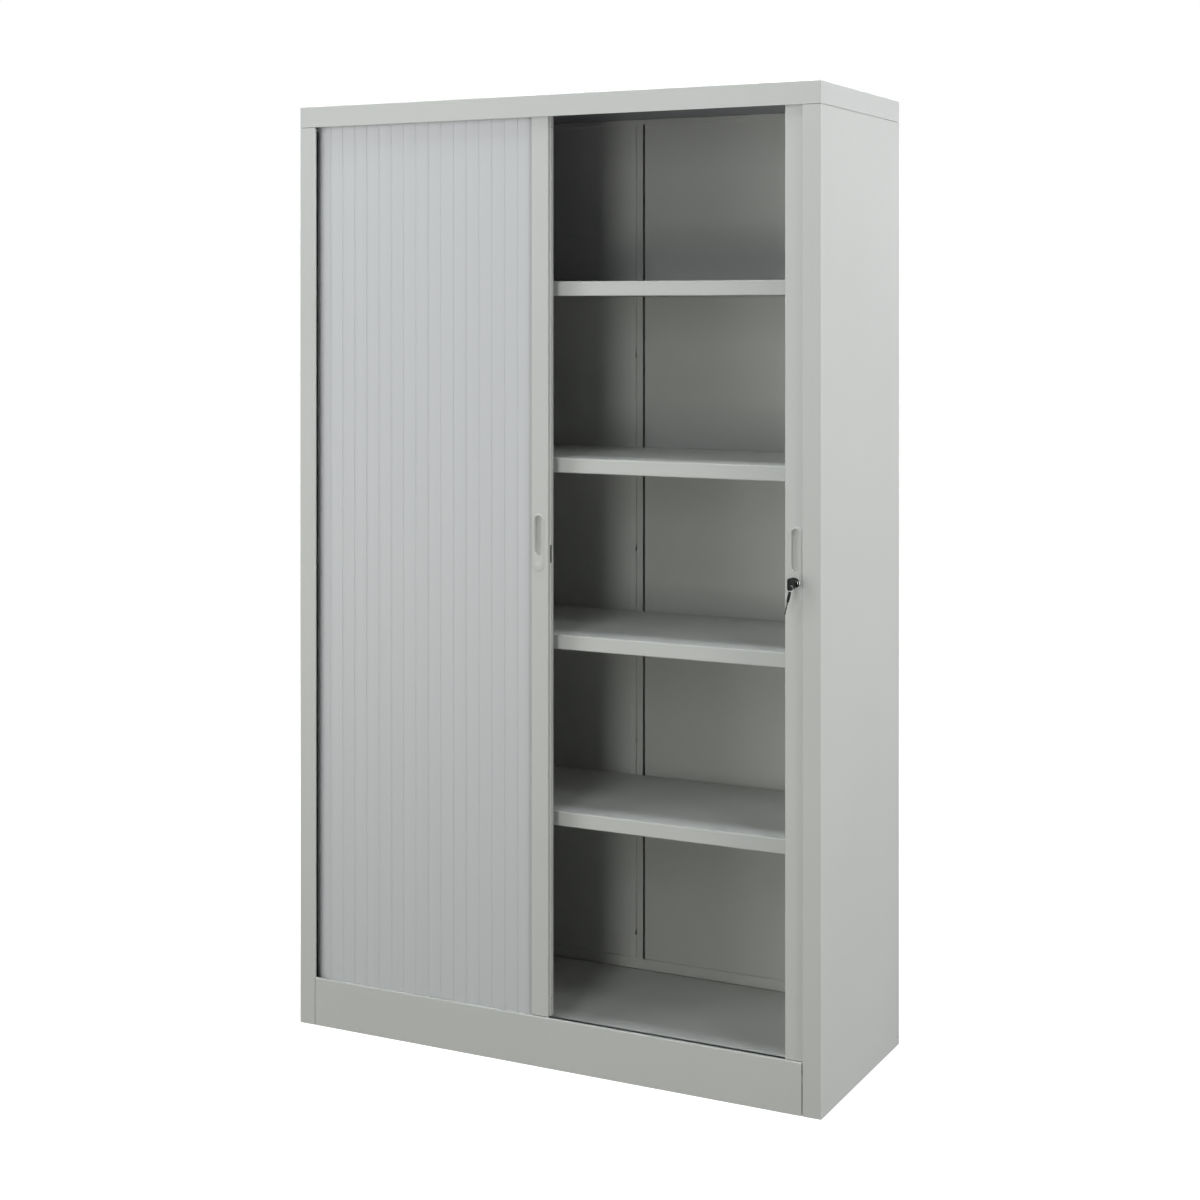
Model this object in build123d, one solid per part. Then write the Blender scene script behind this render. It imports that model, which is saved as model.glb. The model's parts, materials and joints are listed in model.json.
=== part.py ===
from build123d import *

import math
import os

# Tambour door cabinet in folded sheet steel, about two metres tall.
# Millimetres, +Z up, +X to the right as seen from the front, which faces -Y.
# The origin lies on the floor, in the middle of the cabinet's footprint.

# Carcass
width = 1200.0
depth = 460.0
height = 1980.0
sheet = 1.0
bend = 2.5
cap_height = 45.0
cap_seam = 0.8
stile_width = 39.6
stile_return = 4.4
stile_bend = 4.0
rear_flange = 20.0
joint_gap = 0.5
bolt_hole_radius = 2.5
bolt_hole_inset = 15.0
bolt_hole_height = 19.0

# Plinth and base
plinth_height = 102.0
lip_depth = 8.0
lip_return = 6.0
base_height = 75.0
base_wall = 1.5
base_flange = 25.0
weld_pad_width = 30.0
weld_pad_count = 4
weld_pad_pitch = 300.0
weld_pad_margin = 10.0
gusset_reach = 90.0
gusset_height = 40.0
gusset_thickness = 3.0

# Levelling feet
foot_inset_x = 50.0
foot_inset_y = 60.0
foot_radius = 16.0
foot_pad = 8.0
stud_radius = 5.0
stud_length = 60.0
nut_size = 17.0
nut_height = 8.0
thread_clearance = 0.05
gusset_clearance = 0.4

# Inside
side_pocket = 45.0
liner_setback = 60.0
liner_hem = 6.0
chamfer = 24.0
back_lap = 15.0
back_space = 27.0
trim_depth = 3.0
floor_rise = 4.0
floor_setback = 73.0
head_room = 17.0
ledge_height = 24.0
top_trim_height = 11.0
left_post_width = 15.0
right_post_width = 13.0
back_gap = 20.0
keyhole_count = 5
keyhole_first = 157.0
keyhole_pitch = 427.0
keyhole_radius = 4.0
keyhole_slot = 4.0
keyhole_length = 14.0

# Shelves
shelf_count = 4
first_shelf = 511.0
slot_pitch = 33.0
slots_between_shelves = 11
shelf_height = 30.0
shelf_setback = 54.0
shelf_end_gap = 2.5
shelf_return = 15.0
clip_thickness = 1.5
clip_width = 12.0
clip_reach = 12.0
clip_rise = 11.0
clip_hook = 3.0
clip_front_inset = 50.0
clip_rear_inset = 54.0
slots_each_way = 2
slot_clearance = 0.5

# Curtain slats
slat_count = 18
slat_pitch = 30.7
slat_gap = 0.6
slat_thickness = 8.0
slat_taper = 2.9
slat_setback = 9.0
tongue_width = 10.0
tongue_thickness = 3.0
pocket_gap = 10.0
turn_radius = 64.0
rear_gap = 13.5
rear_track = 126.0

# Guide tracks
track_height = 12.0
track_floor = 2.0
track_wall = 2.0
track_clearance = 0.3
corner_radius = 8.0
running_gap = 0.3

# Handle rails
rail_width = 41.3
rail_setback = 5.0
rail_depth = 21.0
rail_wall = 1.3
rail_step = 1.5
rail_step_depth = 8.8
rail_heel = 5.9
rail_heel_depth = 5.1
rail_lift = 1.0
rail_top_gap = 2.0
rail_tuck = 3.4
meeting_line = 8.7
door_gap = 0.8
rail_to_slat = 2.0
hem_gap = 1.0
glide_inset = 4.6
glide_plug = 45.0
plug_clearance = 0.1
screw_hole_radius = 2.0
screw_hole_depth = 9.0
screw_hole_rise = 35.0
stop_clearance = 0.4

# Finger pulls and lock
pull_offset = 2.65
plate_width = 26.0
plate_length = 118.0
plate_thickness = 1.2
recess_width = 17.5
recess_length = 81.0
recess_depth = 7.5
recess_wall = 1.0
lock_height = 1018.5
plate_below_lock = 10.5
recess_above_lock = 22.5
lock_radius = 8.4
lock_fit = 0.1
bezel_radius = 9.7
bezel_thickness = 1.3
plug_radius = 5.5
plug_fit = 0.05
plug_proud = 0.5
plug_length = 12.4
hook_thickness = 2.8
hook_hub = 6.5
hook_reach = 34.0
hook_width = 5.0
hook_barb = 12.0
hook_rest_angle = 80.0
hook_gap = 0.4
slot_above_lock = 7.5
hook_slot_height = 36.0
hook_slot_depth = 5.6
screw_radius = 1.5
screw_head_radius = 3.5
screw_head = 2.0
screw_depth = 3.0

# Keys
blade_width = 7.5
blade_thickness = 2.0
blade_depth = 8.1
blade_clearance = 0.15
key_neck = 4.0
key_head_length = 30.0
key_head_height = 23.0
key_head_thickness = 6.0
key_corner = 5.0
key_hole_radius = 2.5
key_hole_inset = 5.0
ring_radius = 8.0
ring_wire = 0.6
ring_rise = 1.5
spare_head_length = 20.0
spare_head_width = 15.0
spare_head_thickness = 4.0
spare_hole_radius = 3.7
spare_blade_length = 26.0
spare_hole_inset = 5.0
spare_hole_play = 1.6
spare_lean = 14.0
spare_twist = 27.0

# Worked out from the sizes above
half_width = width / 2
front = -depth / 2
rear = depth / 2
side_top = height - cap_height - cap_seam
ceiling_height = height - head_room
liner_half_width = half_width - side_pocket
liner_front = front + liner_setback
inner_back_front = rear - back_space
rear_trim_front = inner_back_front - trim_depth
floor_front = front + floor_setback
shelf_front = front + shelf_setback
shelf_spacing = slots_between_shelves * slot_pitch
shelf_tops = [first_shelf + n * shelf_spacing for n in range(shelf_count)]
keyhole_heights = [keyhole_first + n * keyhole_pitch for n in range(keyhole_count)]
clip_places = (
    liner_front + clip_front_inset,
    inner_back_front + sheet - clip_rear_inset,
)
deck_top = base_height + sheet
floor_top = deck_top + floor_rise
stile_edge = half_width - stile_width
inside_width = half_width - sheet
track_top_bottom = ceiling_height - track_height
bottom_groove = deck_top + track_floor
top_groove = ceiling_height - track_floor
pocket_x = half_width - pocket_gap
slat_front = front + slat_setback
rear_run = rear - rear_gap
rear_run_end = pocket_x - turn_radius - rear_track
rail_front = front + rail_setback
track_half = slat_thickness / 2 + track_clearance
path_front = slat_front + slat_thickness / 2
path_rear = rear_run - slat_thickness / 2
path_side = pocket_x - slat_thickness / 2
path_radius = turn_radius - slat_thickness / 2
rail_rear = rail_front + rail_depth
rail_bottom = plinth_height + rail_lift
rail_top = track_top_bottom - rail_top_gap
rail_trailing = meeting_line - rail_width
open_leading = stile_edge + rail_tuck - rail_width
mirror_sum = meeting_line + open_leading
pull_x = meeting_line - rail_width / 2 - pull_offset
lock_x = mirror_sum - pull_x
plate_bottom = lock_height - plate_below_lock
recess_bottom = lock_height + recess_above_lock
hook_slot_bottom = lock_height + slot_above_lock
plate_front = rail_front - plate_thickness
plug_front = plate_front - bezel_thickness - plug_proud
hook_front = plug_front + plug_length
hook_rear = hook_front + hook_thickness


def block(x0, x1, y0, y1, z0, z1):
    """A box between two corners."""
    size = Box(abs(x1 - x0), abs(y1 - y0), abs(z1 - z0))
    return Pos((x0 + x1) / 2, (y0 + y1) / 2, (z0 + z1) / 2) * size


def offset_line(points, distance):
    """A line of corners moved to its left by a distance, with mitred corners."""
    moved = []
    last = len(points) - 1
    for i, point in enumerate(points):
        before = (points[max(i, 1)] - points[max(i, 1) - 1]).normalized()
        after = (points[min(i, last - 1) + 1] - points[min(i, last - 1)]).normalized()
        left_before = Vector(-before.Y, before.X)
        left_after = Vector(-after.Y, after.X)
        mitre = (left_before + left_after) / (1 + left_before.dot(left_after))
        moved.append(point + mitre * distance)
    return moved


def band(points, left, right, bends, wide_corners=()):
    """A flat strip along a line of corners, between its left and right offsets.

    The bends are radii on the line itself. A corner in wide_corners keeps its own
    radius on the outer side.
    """
    corners = [Vector(*point) for point in points]
    inner = range(1, len(corners) - 1)
    sides = [corners[i] - corners[i - 1] for i in range(1, len(corners))]
    turns = [math.copysign(1, sides[i - 1].cross(sides[i]).Z) for i in inner]
    left_radii = [max(r - left * t, 0) for r, t in zip(bends, turns)]
    right_radii = [max(r + right * t, 0) for r, t in zip(bends, turns)]
    for index, radius in dict(wide_corners).items():
        outer_radii = right_radii if turns[index] > 0 else left_radii
        outer_radii[index] = radius
    outline = offset_line(corners, left) + offset_line(corners, -right)[::-1]
    radii = [0, *left_radii, 0, 0, *right_radii[::-1], 0]
    return make_face(FilletPolyline(*outline, radius=radii, close=True).edges())


def upright(face, z0, z1):
    """A plan section raised from one height to another."""
    return Pos(0, 0, z0) * extrude(face, z1 - z0)


def along_x(face, x0, x1):
    """A section drawn in Y and Z, drawn out along X."""
    return Pos(x0, 0, 0) * extrude(Plane.YZ * face, x1 - x0)


def facing(face, x, z, y0, y1):
    """A front view drawn in X and Z, centred on a point, between two depths."""
    return Pos(x, y1, z) * extrude(Plane.XZ * face, y1 - y0)


def drum(radius, x, z, y0, y1):
    """A cylinder whose axis runs front to back."""
    return facing(Circle(radius), x, z, y0, y1)


def pin(radius, x, y, z0, z1):
    """An upright cylinder."""
    return Pos(x, y, (z0 + z1) / 2) * Cylinder(radius, z1 - z0)


def mirrored(shape):
    """The same piece on the other side of the cabinet."""
    return mirror(shape, about=Plane.YZ)


def write(name, shape):
    """One file per piece or group of like pieces."""
    export_step(Compound(children=list(shape.solids()), label=name), f"parts/{name}.step")


def make_top_cap():
    outer = block(-half_width, half_width, front, rear, height - cap_height, height)
    outer = fillet(outer.edges().filter_by(Axis.Z), bend)
    cavity = block(
        -inside_width,
        inside_width,
        front + sheet,
        rear - sheet,
        height - cap_height,
        height - sheet,
    )
    return outer - fillet(cavity.edges().filter_by(Axis.Z), bend - sheet)


def make_ceiling_panel():
    clear = sheet + joint_gap / 2
    top = height - sheet
    pan = block(
        -half_width + clear, half_width - clear, front + clear, rear - clear, ceiling_height, top
    )
    pan = fillet(pan.edges().filter_by(Axis.Z), bend)
    inner = clear + sheet
    return pan - block(
        -half_width + inner,
        half_width - inner,
        front + inner,
        rear - inner,
        ceiling_height + sheet,
        top,
    )


def make_side_panel():
    outline = [
        (stile_edge, front + stile_return),
        (stile_edge, front),
        (half_width, front),
        (half_width, rear),
        (half_width - rear_flange, rear),
    ]
    panel = upright(band(outline, sheet, 0, [stile_bend, bend, bend]), 0, side_top)
    hole = Rot(0, 90, 0) * Cylinder(bolt_hole_radius, 4 * sheet)
    return panel - Pos(half_width, rear - bolt_hole_inset, bolt_hole_height) * hole


def make_liner():
    flat_end = inner_back_front + sheet - chamfer
    outline = [
        (liner_half_width + liner_hem, liner_front),
        (liner_half_width, liner_front),
        (liner_half_width, flat_end),
        (liner_half_width - chamfer, inner_back_front + sheet),
        (liner_half_width - chamfer - back_lap, inner_back_front + sheet),
    ]
    liner = upright(band(outline, 0, sheet, [sheet, sheet, sheet]), deck_top, ceiling_height)
    half_slot = clip_width / 2 + slot_clearance
    cuts = []
    for place in clip_places:
        for top in shelf_tops:
            for step in range(-slots_each_way, slots_each_way + 1):
                level = top - shelf_height + step * slot_pitch
                cuts.append(
                    block(
                        liner_half_width - sheet,
                        liner_half_width + 2 * sheet,
                        place - half_slot,
                        place + half_slot,
                        level - clip_thickness - slot_clearance,
                        level + slot_clearance,
                    )
                )
    return liner - cuts


def make_plinth_front():
    outline = [
        (front, 0),
        (front, plinth_height),
        (front + lip_depth, plinth_height),
        (front + lip_depth, plinth_height - lip_return),
    ]
    edge = stile_edge - joint_gap
    return along_x(band(outline, 0, sheet, [bend, bend / 2 + sheet]), -edge, edge)


def make_base_frame():
    clear_front = front + stile_return + running_gap
    back = rear - sheet
    ring = block(-inside_width, inside_width, clear_front, back, 0, base_height)
    ring = fillet(ring.edges().filter_by(Axis.Z), bend)
    hollow = block(
        -inside_width + base_wall,
        inside_width - base_wall,
        clear_front + base_wall,
        back - base_wall,
        base_wall,
        base_height,
    )
    window = block(
        -inside_width + base_flange,
        inside_width - base_flange,
        clear_front + base_flange,
        back - base_flange,
        0,
        base_wall,
    )
    frame = ring - hollow - window
    first_pad = -weld_pad_pitch * (weld_pad_count - 1) / 2
    for number in range(weld_pad_count):
        place = first_pad + number * weld_pad_pitch
        frame += block(
            place - weld_pad_width / 2,
            place + weld_pad_width / 2,
            front + sheet,
            clear_front,
            weld_pad_margin,
            base_height - weld_pad_margin,
        )
    for side in (-1, 1):
        for end, wall in ((-1, clear_front), (1, back)):
            frame += block(
                side * (inside_width - gusset_reach),
                side * (inside_width - base_wall / 2),
                wall - end * gusset_reach,
                wall - end * base_wall / 2,
                gusset_height,
                gusset_height + gusset_thickness,
            )
    for x, y in foot_places():
        frame -= pin(stud_radius + gusset_clearance, x, y, gusset_height, base_height)
    return frame


def foot_places():
    """The four feet, front left, front right, rear left and rear right."""
    x = half_width - foot_inset_x
    y = depth / 2 - foot_inset_y
    return [(-x, -y), (x, -y), (-x, y), (x, y)]


def make_foot(x, y):
    return pin(foot_radius, x, y, 0, foot_pad) + pin(
        stud_radius, x, y, foot_pad, foot_pad + stud_length
    )


def make_foot_nuts():
    nuts = []
    seat = gusset_height + gusset_thickness
    for x, y in foot_places():
        hexagon = RegularPolygon(nut_size / 2, 6, major_radius=False)
        nut = Pos(x, y, seat) * extrude(hexagon, nut_height)
        nuts.append(nut - pin(stud_radius + thread_clearance, x, y, seat, seat + nut_height))
    return Compound(children=nuts)


def make_base_deck():
    clear_front = front + stile_return + running_gap
    deck = block(-inside_width, inside_width, clear_front, rear - sheet, base_height, deck_top)
    return fillet(deck.edges().filter_by(Axis.Z), bend)


def without_rear_corners(panel, gap):
    """A floor or shelf with its rear corners cut along the liners' chamfers."""
    reach = 4 * chamfer
    cutter = block(-gap, reach, -reach, reach, 0, height)
    place = Pos(liner_half_width, inner_back_front + sheet - chamfer, 0) * Rot(0, 0, 45)
    cutter = place * cutter
    return panel - cutter - mirrored(cutter)


def make_floor_panel():
    edge = liner_half_width - joint_gap
    back = rear_trim_front - joint_gap
    outline = [
        (floor_front, deck_top),
        (floor_front, floor_top),
        (back, floor_top),
        (back, deck_top),
    ]
    floor = along_x(band(outline, 0, sheet, [bend / 2 + sheet / 2] * 2), -edge, edge)
    return without_rear_corners(floor, joint_gap)


def make_rear_trim(z0, z1):
    """A shallow channel along the foot or the head of the inner back."""
    edge = liner_half_width - chamfer - joint_gap
    outline = [
        (inner_back_front, z0),
        (rear_trim_front, z0),
        (rear_trim_front, z1),
        (inner_back_front, z1),
    ]
    return along_x(band(outline, 0, sheet, [sheet, sheet]), -edge, edge)


def make_rear_post(x0, x1):
    """A shallow upright channel over the seam of the inner back, with keyhole slots."""
    outline = [
        (x0, inner_back_front),
        (x0, rear_trim_front),
        (x1, rear_trim_front),
        (x1, inner_back_front),
    ]
    z0 = floor_top + ledge_height
    z1 = ceiling_height - top_trim_height
    post = upright(band(outline, sheet, 0, [sheet, sheet]), z0, z1)
    for level in keyhole_heights:
        post -= drum(keyhole_radius, 0, level, rear_trim_front - sheet, inner_back_front)
        post -= block(
            -keyhole_slot / 2,
            keyhole_slot / 2,
            rear_trim_front - sheet,
            inner_back_front,
            level,
            level + keyhole_length,
        )
    return post


def make_inner_back(x0, x1):
    back = inner_back_front + sheet
    return block(x0, x1, inner_back_front, back, floor_top, ceiling_height)


def make_outer_back():
    edge = half_width - rear_flange / 4
    return block(-edge, edge, rear - 2 * sheet, rear - sheet, deck_top, ceiling_height)


def make_shelf(top):
    end = liner_half_width - shelf_end_gap
    back = rear_trim_front - joint_gap
    bottom = top - shelf_height
    outline = [
        (shelf_front + shelf_return, bottom),
        (shelf_front, bottom),
        (shelf_front, top),
        (back, top),
        (back, bottom),
        (back - shelf_return, bottom),
    ]
    shelf = along_x(band(outline, 0, sheet, [bend] * 4), -end, end)
    for side in (-1, 1):
        shelf += block(
            side * (end - sheet),
            side * end,
            shelf_front + bend,
            back - bend,
            bottom,
            top - sheet / 2,
        )
    return without_rear_corners(shelf, shelf_end_gap / 2)


def make_shelf_clips():
    clips = []
    seat_end = liner_half_width - clip_thickness
    for top in shelf_tops:
        bottom = top - shelf_height
        for place in clip_places:
            y0 = place - clip_width / 2
            y1 = place + clip_width / 2
            low = bottom - clip_thickness
            lug = block(liner_half_width - clip_reach, seat_end, y0, y1, low, bottom)
            back = block(seat_end, liner_half_width, y0, y1, low, bottom + clip_rise)
            hook = block(liner_half_width, liner_half_width + clip_hook, y0, y1, low, bottom)
            clip = lug + back + hook
            clips += [clip, mirrored(clip)]
    return Compound(children=clips)


def track_path():
    """The line that one curtain's guide follows, from the middle of the front."""
    return [(0, path_front), (path_side, path_front), (path_side, path_rear), (rear_run_end, path_rear)]


def make_track(z0, z1, opening_up):
    half = track_half + track_wall
    bends = [path_radius, path_radius]
    body = upright(band(track_path(), half, half, bends, {0: corner_radius + track_wall}), z0, z1)
    groove = band(track_path(), track_half, track_half, bends, {0: corner_radius})
    if opening_up:
        return body - upright(groove, z0 + track_floor, z1)
    return body - upright(groove, z0, z1 - track_floor)


def make_centre_stops():
    """A block in each groove between the two doors' glides."""
    x0 = meeting_line - glide_inset + stop_clearance
    x1 = meeting_line + glide_inset - stop_clearance + door_gap
    y0 = path_front - slat_thickness / 2
    y1 = path_front + slat_thickness / 2
    low = block(x0, x1, y0, y1, bottom_groove, bottom_groove + track_height / 2)
    high = block(x0, x1, y0, y1, top_groove - track_height / 2, top_groove)
    return Compound(children=[low, high])


def curtain_point(s):
    """A point on the slats' outer face, by its distance from the end of the straight front."""
    quarter = math.pi / 2 * turn_radius
    arc_x = pocket_x - turn_radius
    side_start = slat_front + turn_radius
    side_length = rear_run - turn_radius - side_start
    if s < 0:
        return Vector(arc_x + s, slat_front)
    if s < quarter:
        turn = s / turn_radius
        return Vector(
            arc_x + turn_radius * math.sin(turn), side_start - turn_radius * math.cos(turn)
        )
    s -= quarter
    if s < side_length:
        return Vector(pocket_x, side_start + s)
    s -= side_length
    if s < quarter:
        turn = s / turn_radius
        return Vector(
            arc_x + turn_radius * math.cos(turn),
            rear_run - turn_radius + turn_radius * math.sin(turn),
        )
    return Vector(arc_x - (s - quarter), rear_run)


def next_hinge(point, low):
    """How far along the path the next slat's hinge lies, one pitch away in a straight line."""
    high = low + 2 * slat_pitch
    for _ in range(50):
        middle = (low + high) / 2
        if (curtain_point(middle) - point).length < slat_pitch:
            low = middle
        else:
            high = middle
    return low


def slat(start, end):
    """One slat between two hinges, with a narrow tongue at each end for the grooves."""
    outline = [
        (slat_gap / 2, 0),
        (slat_pitch - slat_gap / 2, 0),
        (slat_pitch - slat_taper, slat_thickness),
        (slat_taper, slat_thickness),
    ]
    low = deck_top + track_height + joint_gap
    high = track_top_bottom - joint_gap
    body = upright(make_face(Polyline(*outline, close=True).edges()), low, high)
    middle = slat_pitch / 2
    depth_in = slat_thickness / 2
    tongues = block(
        middle - tongue_width / 2,
        middle + tongue_width / 2,
        depth_in - tongue_thickness / 2,
        depth_in + tongue_thickness / 2,
        bottom_groove + joint_gap,
        top_groove - joint_gap,
    )
    along = end - start
    turn = math.degrees(math.atan2(along.Y, along.X))
    return Pos(start.X, start.Y, 0) * Rot(0, 0, turn) * (body + tongues)


def make_right_slats():
    """The right curtain in its pocket, where the open door leaves it."""
    hinge = Vector(stile_edge + rail_tuck + rail_to_slat, slat_front)
    return chain(hinge, turn_radius * math.pi / 4)


def make_left_slats():
    """The left curtain drawn out, built on the right and mirrored."""
    first = -rail_trailing + rail_to_slat
    return mirrored(chain(Vector(first, slat_front), first - (pocket_x - turn_radius)))


def chain(hinge, travelled):
    slats = []
    for _ in range(slat_count):
        travelled = next_hinge(hinge, travelled)
        following = curtain_point(travelled)
        slats.append(slat(hinge, following))
        hinge = following
    return Compound(children=slats)


def rail_outline(inset):
    """The plan section of the left rail, drawn in by an inset.

    Its leading side is stepped, and its heel is cut away so that the first slat can turn.
    """
    heel_y = rail_front + rail_heel_depth
    outline = [
        (rail_trailing, rail_front),
        (meeting_line - rail_step, rail_front),
        (meeting_line - rail_step, rail_front + rail_step_depth),
        (meeting_line, rail_front + rail_step_depth),
        (meeting_line, rail_rear),
        (rail_trailing + rail_heel, rail_rear),
        (rail_trailing + rail_heel, heel_y + rail_heel),
        (rail_trailing, heel_y),
    ]
    ends = [Vector(*outline[-1]), Vector(*outline[0])]
    corners = [ends[0]] + [Vector(*point) for point in outline] + [ends[1]]
    return offset_line(corners, inset)[1:-1]


def make_handle_rail():
    outer = make_face(Polyline(*rail_outline(0), close=True).edges())
    inner = make_face(Polyline(*rail_outline(rail_wall), close=True).edges())
    rail = upright(outer, rail_bottom, rail_top) - upright(inner, rail_bottom, rail_top)
    rail += block(
        rail_trailing - rail_to_slat + hem_gap,
        rail_trailing,
        rail_front + rail_heel_depth - rail_wall,
        rail_front + rail_heel_depth,
        rail_bottom,
        rail_top,
    )
    into = rail_front + 2 * rail_wall
    pocket = SlotOverall(recess_length + 2 * recess_wall, recess_width + 2 * recess_wall, 90)
    rail -= facing(pocket, pull_x, recess_bottom + recess_length / 2, rail_front, into)
    rail -= drum(lock_radius + lock_fit, pull_x, lock_height, rail_front, into)
    slot_y = rail_front + rail_step_depth
    rail -= block(
        meeting_line - rail_step - rail_wall - joint_gap,
        meeting_line,
        slot_y,
        slot_y + hook_slot_depth,
        hook_slot_bottom,
        hook_slot_bottom + hook_slot_height,
    )
    for level in (rail_bottom + screw_hole_rise, rail_top - screw_hole_rise):
        hole = Rot(0, 90, 0) * Cylinder(screw_hole_radius, 3 * rail_wall)
        rail -= Pos(meeting_line, rail_rear - screw_hole_depth, level) * hole
    return rail


def make_glides():
    """A plug in each end of the rail, with a foot that runs in the groove."""
    inner = make_face(Polyline(*rail_outline(rail_wall + plug_clearance), close=True).edges())
    x0 = rail_trailing + glide_inset
    x1 = meeting_line - glide_inset
    y0 = path_front - track_half + running_gap + plug_clearance
    y1 = path_front + track_half - running_gap - plug_clearance
    low = upright(inner, rail_bottom, rail_bottom + glide_plug)
    low += block(x0, x1, y0, y1, bottom_groove + running_gap, rail_bottom)
    high = upright(inner, rail_top - glide_plug, rail_top)
    high += block(x0, x1, y0, y1, rail_top, top_groove - running_gap)
    return Compound(children=[low, high])


def make_finger_pull():
    """A raised plate with a finger recess and a hole for the lock."""
    plate = SlotOverall(plate_length, plate_width, 90)
    pull = facing(plate, pull_x, plate_bottom + plate_length / 2, plate_front, rail_front)
    middle = recess_bottom + recess_length / 2
    shell = SlotOverall(recess_length + 2 * recess_wall, recess_width + 2 * recess_wall, 90)
    shell_rear = rail_front + recess_depth + recess_wall
    pull += facing(offset(shell, -lock_fit), pull_x, middle, rail_front, shell_rear)
    recess = SlotOverall(recess_length, recess_width, 90)
    pull -= facing(recess, pull_x, middle, plate_front, rail_front + recess_depth)
    return pull - drum(lock_radius + lock_fit, pull_x, lock_height, plate_front, rail_front)


def make_lock_blank():
    return drum(lock_radius, pull_x, lock_height, plate_front - plug_proud, rail_front + 2 * rail_wall)


def make_lock_housing():
    bezel = drum(bezel_radius, lock_x, lock_height, plate_front - bezel_thickness, plate_front)
    barrel = drum(lock_radius, lock_x, lock_height, plate_front, hook_front - hook_gap)
    bore = drum(
        plug_radius + plug_fit, lock_x, lock_height, plate_front - bezel_thickness, hook_front
    )
    return bezel + barrel - bore


def make_lock_plug():
    plug = drum(plug_radius, lock_x, lock_height, plug_front, hook_front)
    slot_x = blade_thickness / 2 + blade_clearance
    slot_z = blade_width / 2 + blade_clearance
    plug -= block(
        lock_x - slot_x,
        lock_x + slot_x,
        plug_front,
        plug_front + blade_depth + running_gap,
        lock_height - slot_z,
        lock_height + slot_z,
    )
    return plug - drum(screw_radius, lock_x, lock_height, hook_front - screw_depth, hook_front)


def make_lock_hook():
    """A hub with an arm and a barb, in its unlocked place inside the rail."""
    arm = Pos(hook_reach / 2, 0) * Rectangle(hook_reach, hook_width)
    barb_height = hook_barb + hook_width / 2
    barb = Pos(hook_reach - hook_width / 2, (hook_barb - hook_width / 2) / 2)
    shape = Circle(hook_hub) + arm + barb * Rectangle(hook_width, barb_height)
    shape = Rot(0, 0, hook_rest_angle) * (shape - Circle(screw_radius))
    return facing(shape, lock_x, lock_height, hook_front, hook_rear)


def make_hook_screw():
    shank = drum(screw_radius, lock_x, lock_height, hook_front - screw_depth, hook_rear)
    return shank + drum(screw_head_radius, lock_x, lock_height, hook_rear, hook_rear + screw_head)


def key_head_rear():
    return plug_front - key_neck


def key_hole_y():
    return key_head_rear() - key_head_length + key_hole_inset


def make_key():
    """The key in the lock: a metal blade and a moulded head with a hole for the ring."""
    head_rear = key_head_rear()
    blade = block(
        lock_x - blade_thickness / 2,
        lock_x + blade_thickness / 2,
        head_rear - key_corner,
        plug_front + blade_depth,
        lock_height - blade_width / 2,
        lock_height + blade_width / 2,
    )
    head = block(
        lock_x - key_head_thickness / 2,
        lock_x + key_head_thickness / 2,
        head_rear - key_head_length,
        head_rear,
        lock_height - key_head_height / 2,
        lock_height + key_head_height / 2,
    )
    head = fillet(head.edges().filter_by(Axis.X), key_corner)
    hole = Rot(0, 90, 0) * Cylinder(key_hole_radius, 2 * key_head_thickness)
    return blade + (head - Pos(lock_x, key_hole_y(), lock_height) * hole)


def make_key_ring():
    """A wire ring through the key's hole, hanging square to it."""
    drop = lock_height - ring_rise + ring_wire - ring_radius
    return Pos(lock_x, key_hole_y(), drop) * Rot(90, 0, 0) * Torus(ring_radius, ring_wire)


def make_spare_key():
    """A second key on the ring, hanging askew."""
    head = block(
        -spare_head_thickness / 2,
        spare_head_thickness / 2,
        -spare_head_width / 2,
        spare_head_width / 2,
        spare_hole_inset - spare_head_length,
        spare_hole_inset,
    )
    head = fillet(head.edges().filter_by(Axis.X), spare_hole_inset - 1)
    head -= Rot(0, 90, 0) * Cylinder(spare_hole_radius, 2 * spare_head_thickness)
    blade = block(
        -blade_thickness / 2,
        blade_thickness / 2,
        -blade_width / 2,
        blade_width / 2,
        spare_hole_inset - spare_head_length - spare_blade_length,
        spare_hole_inset - spare_head_length,
    )
    ring_bottom = lock_height - ring_rise + ring_wire - 2 * ring_radius
    place = Pos(lock_x, key_hole_y(), ring_bottom - spare_hole_play)
    return place * Rot(0, spare_lean, 0) * Rot(0, 0, spare_twist) * (head + blade)


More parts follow.
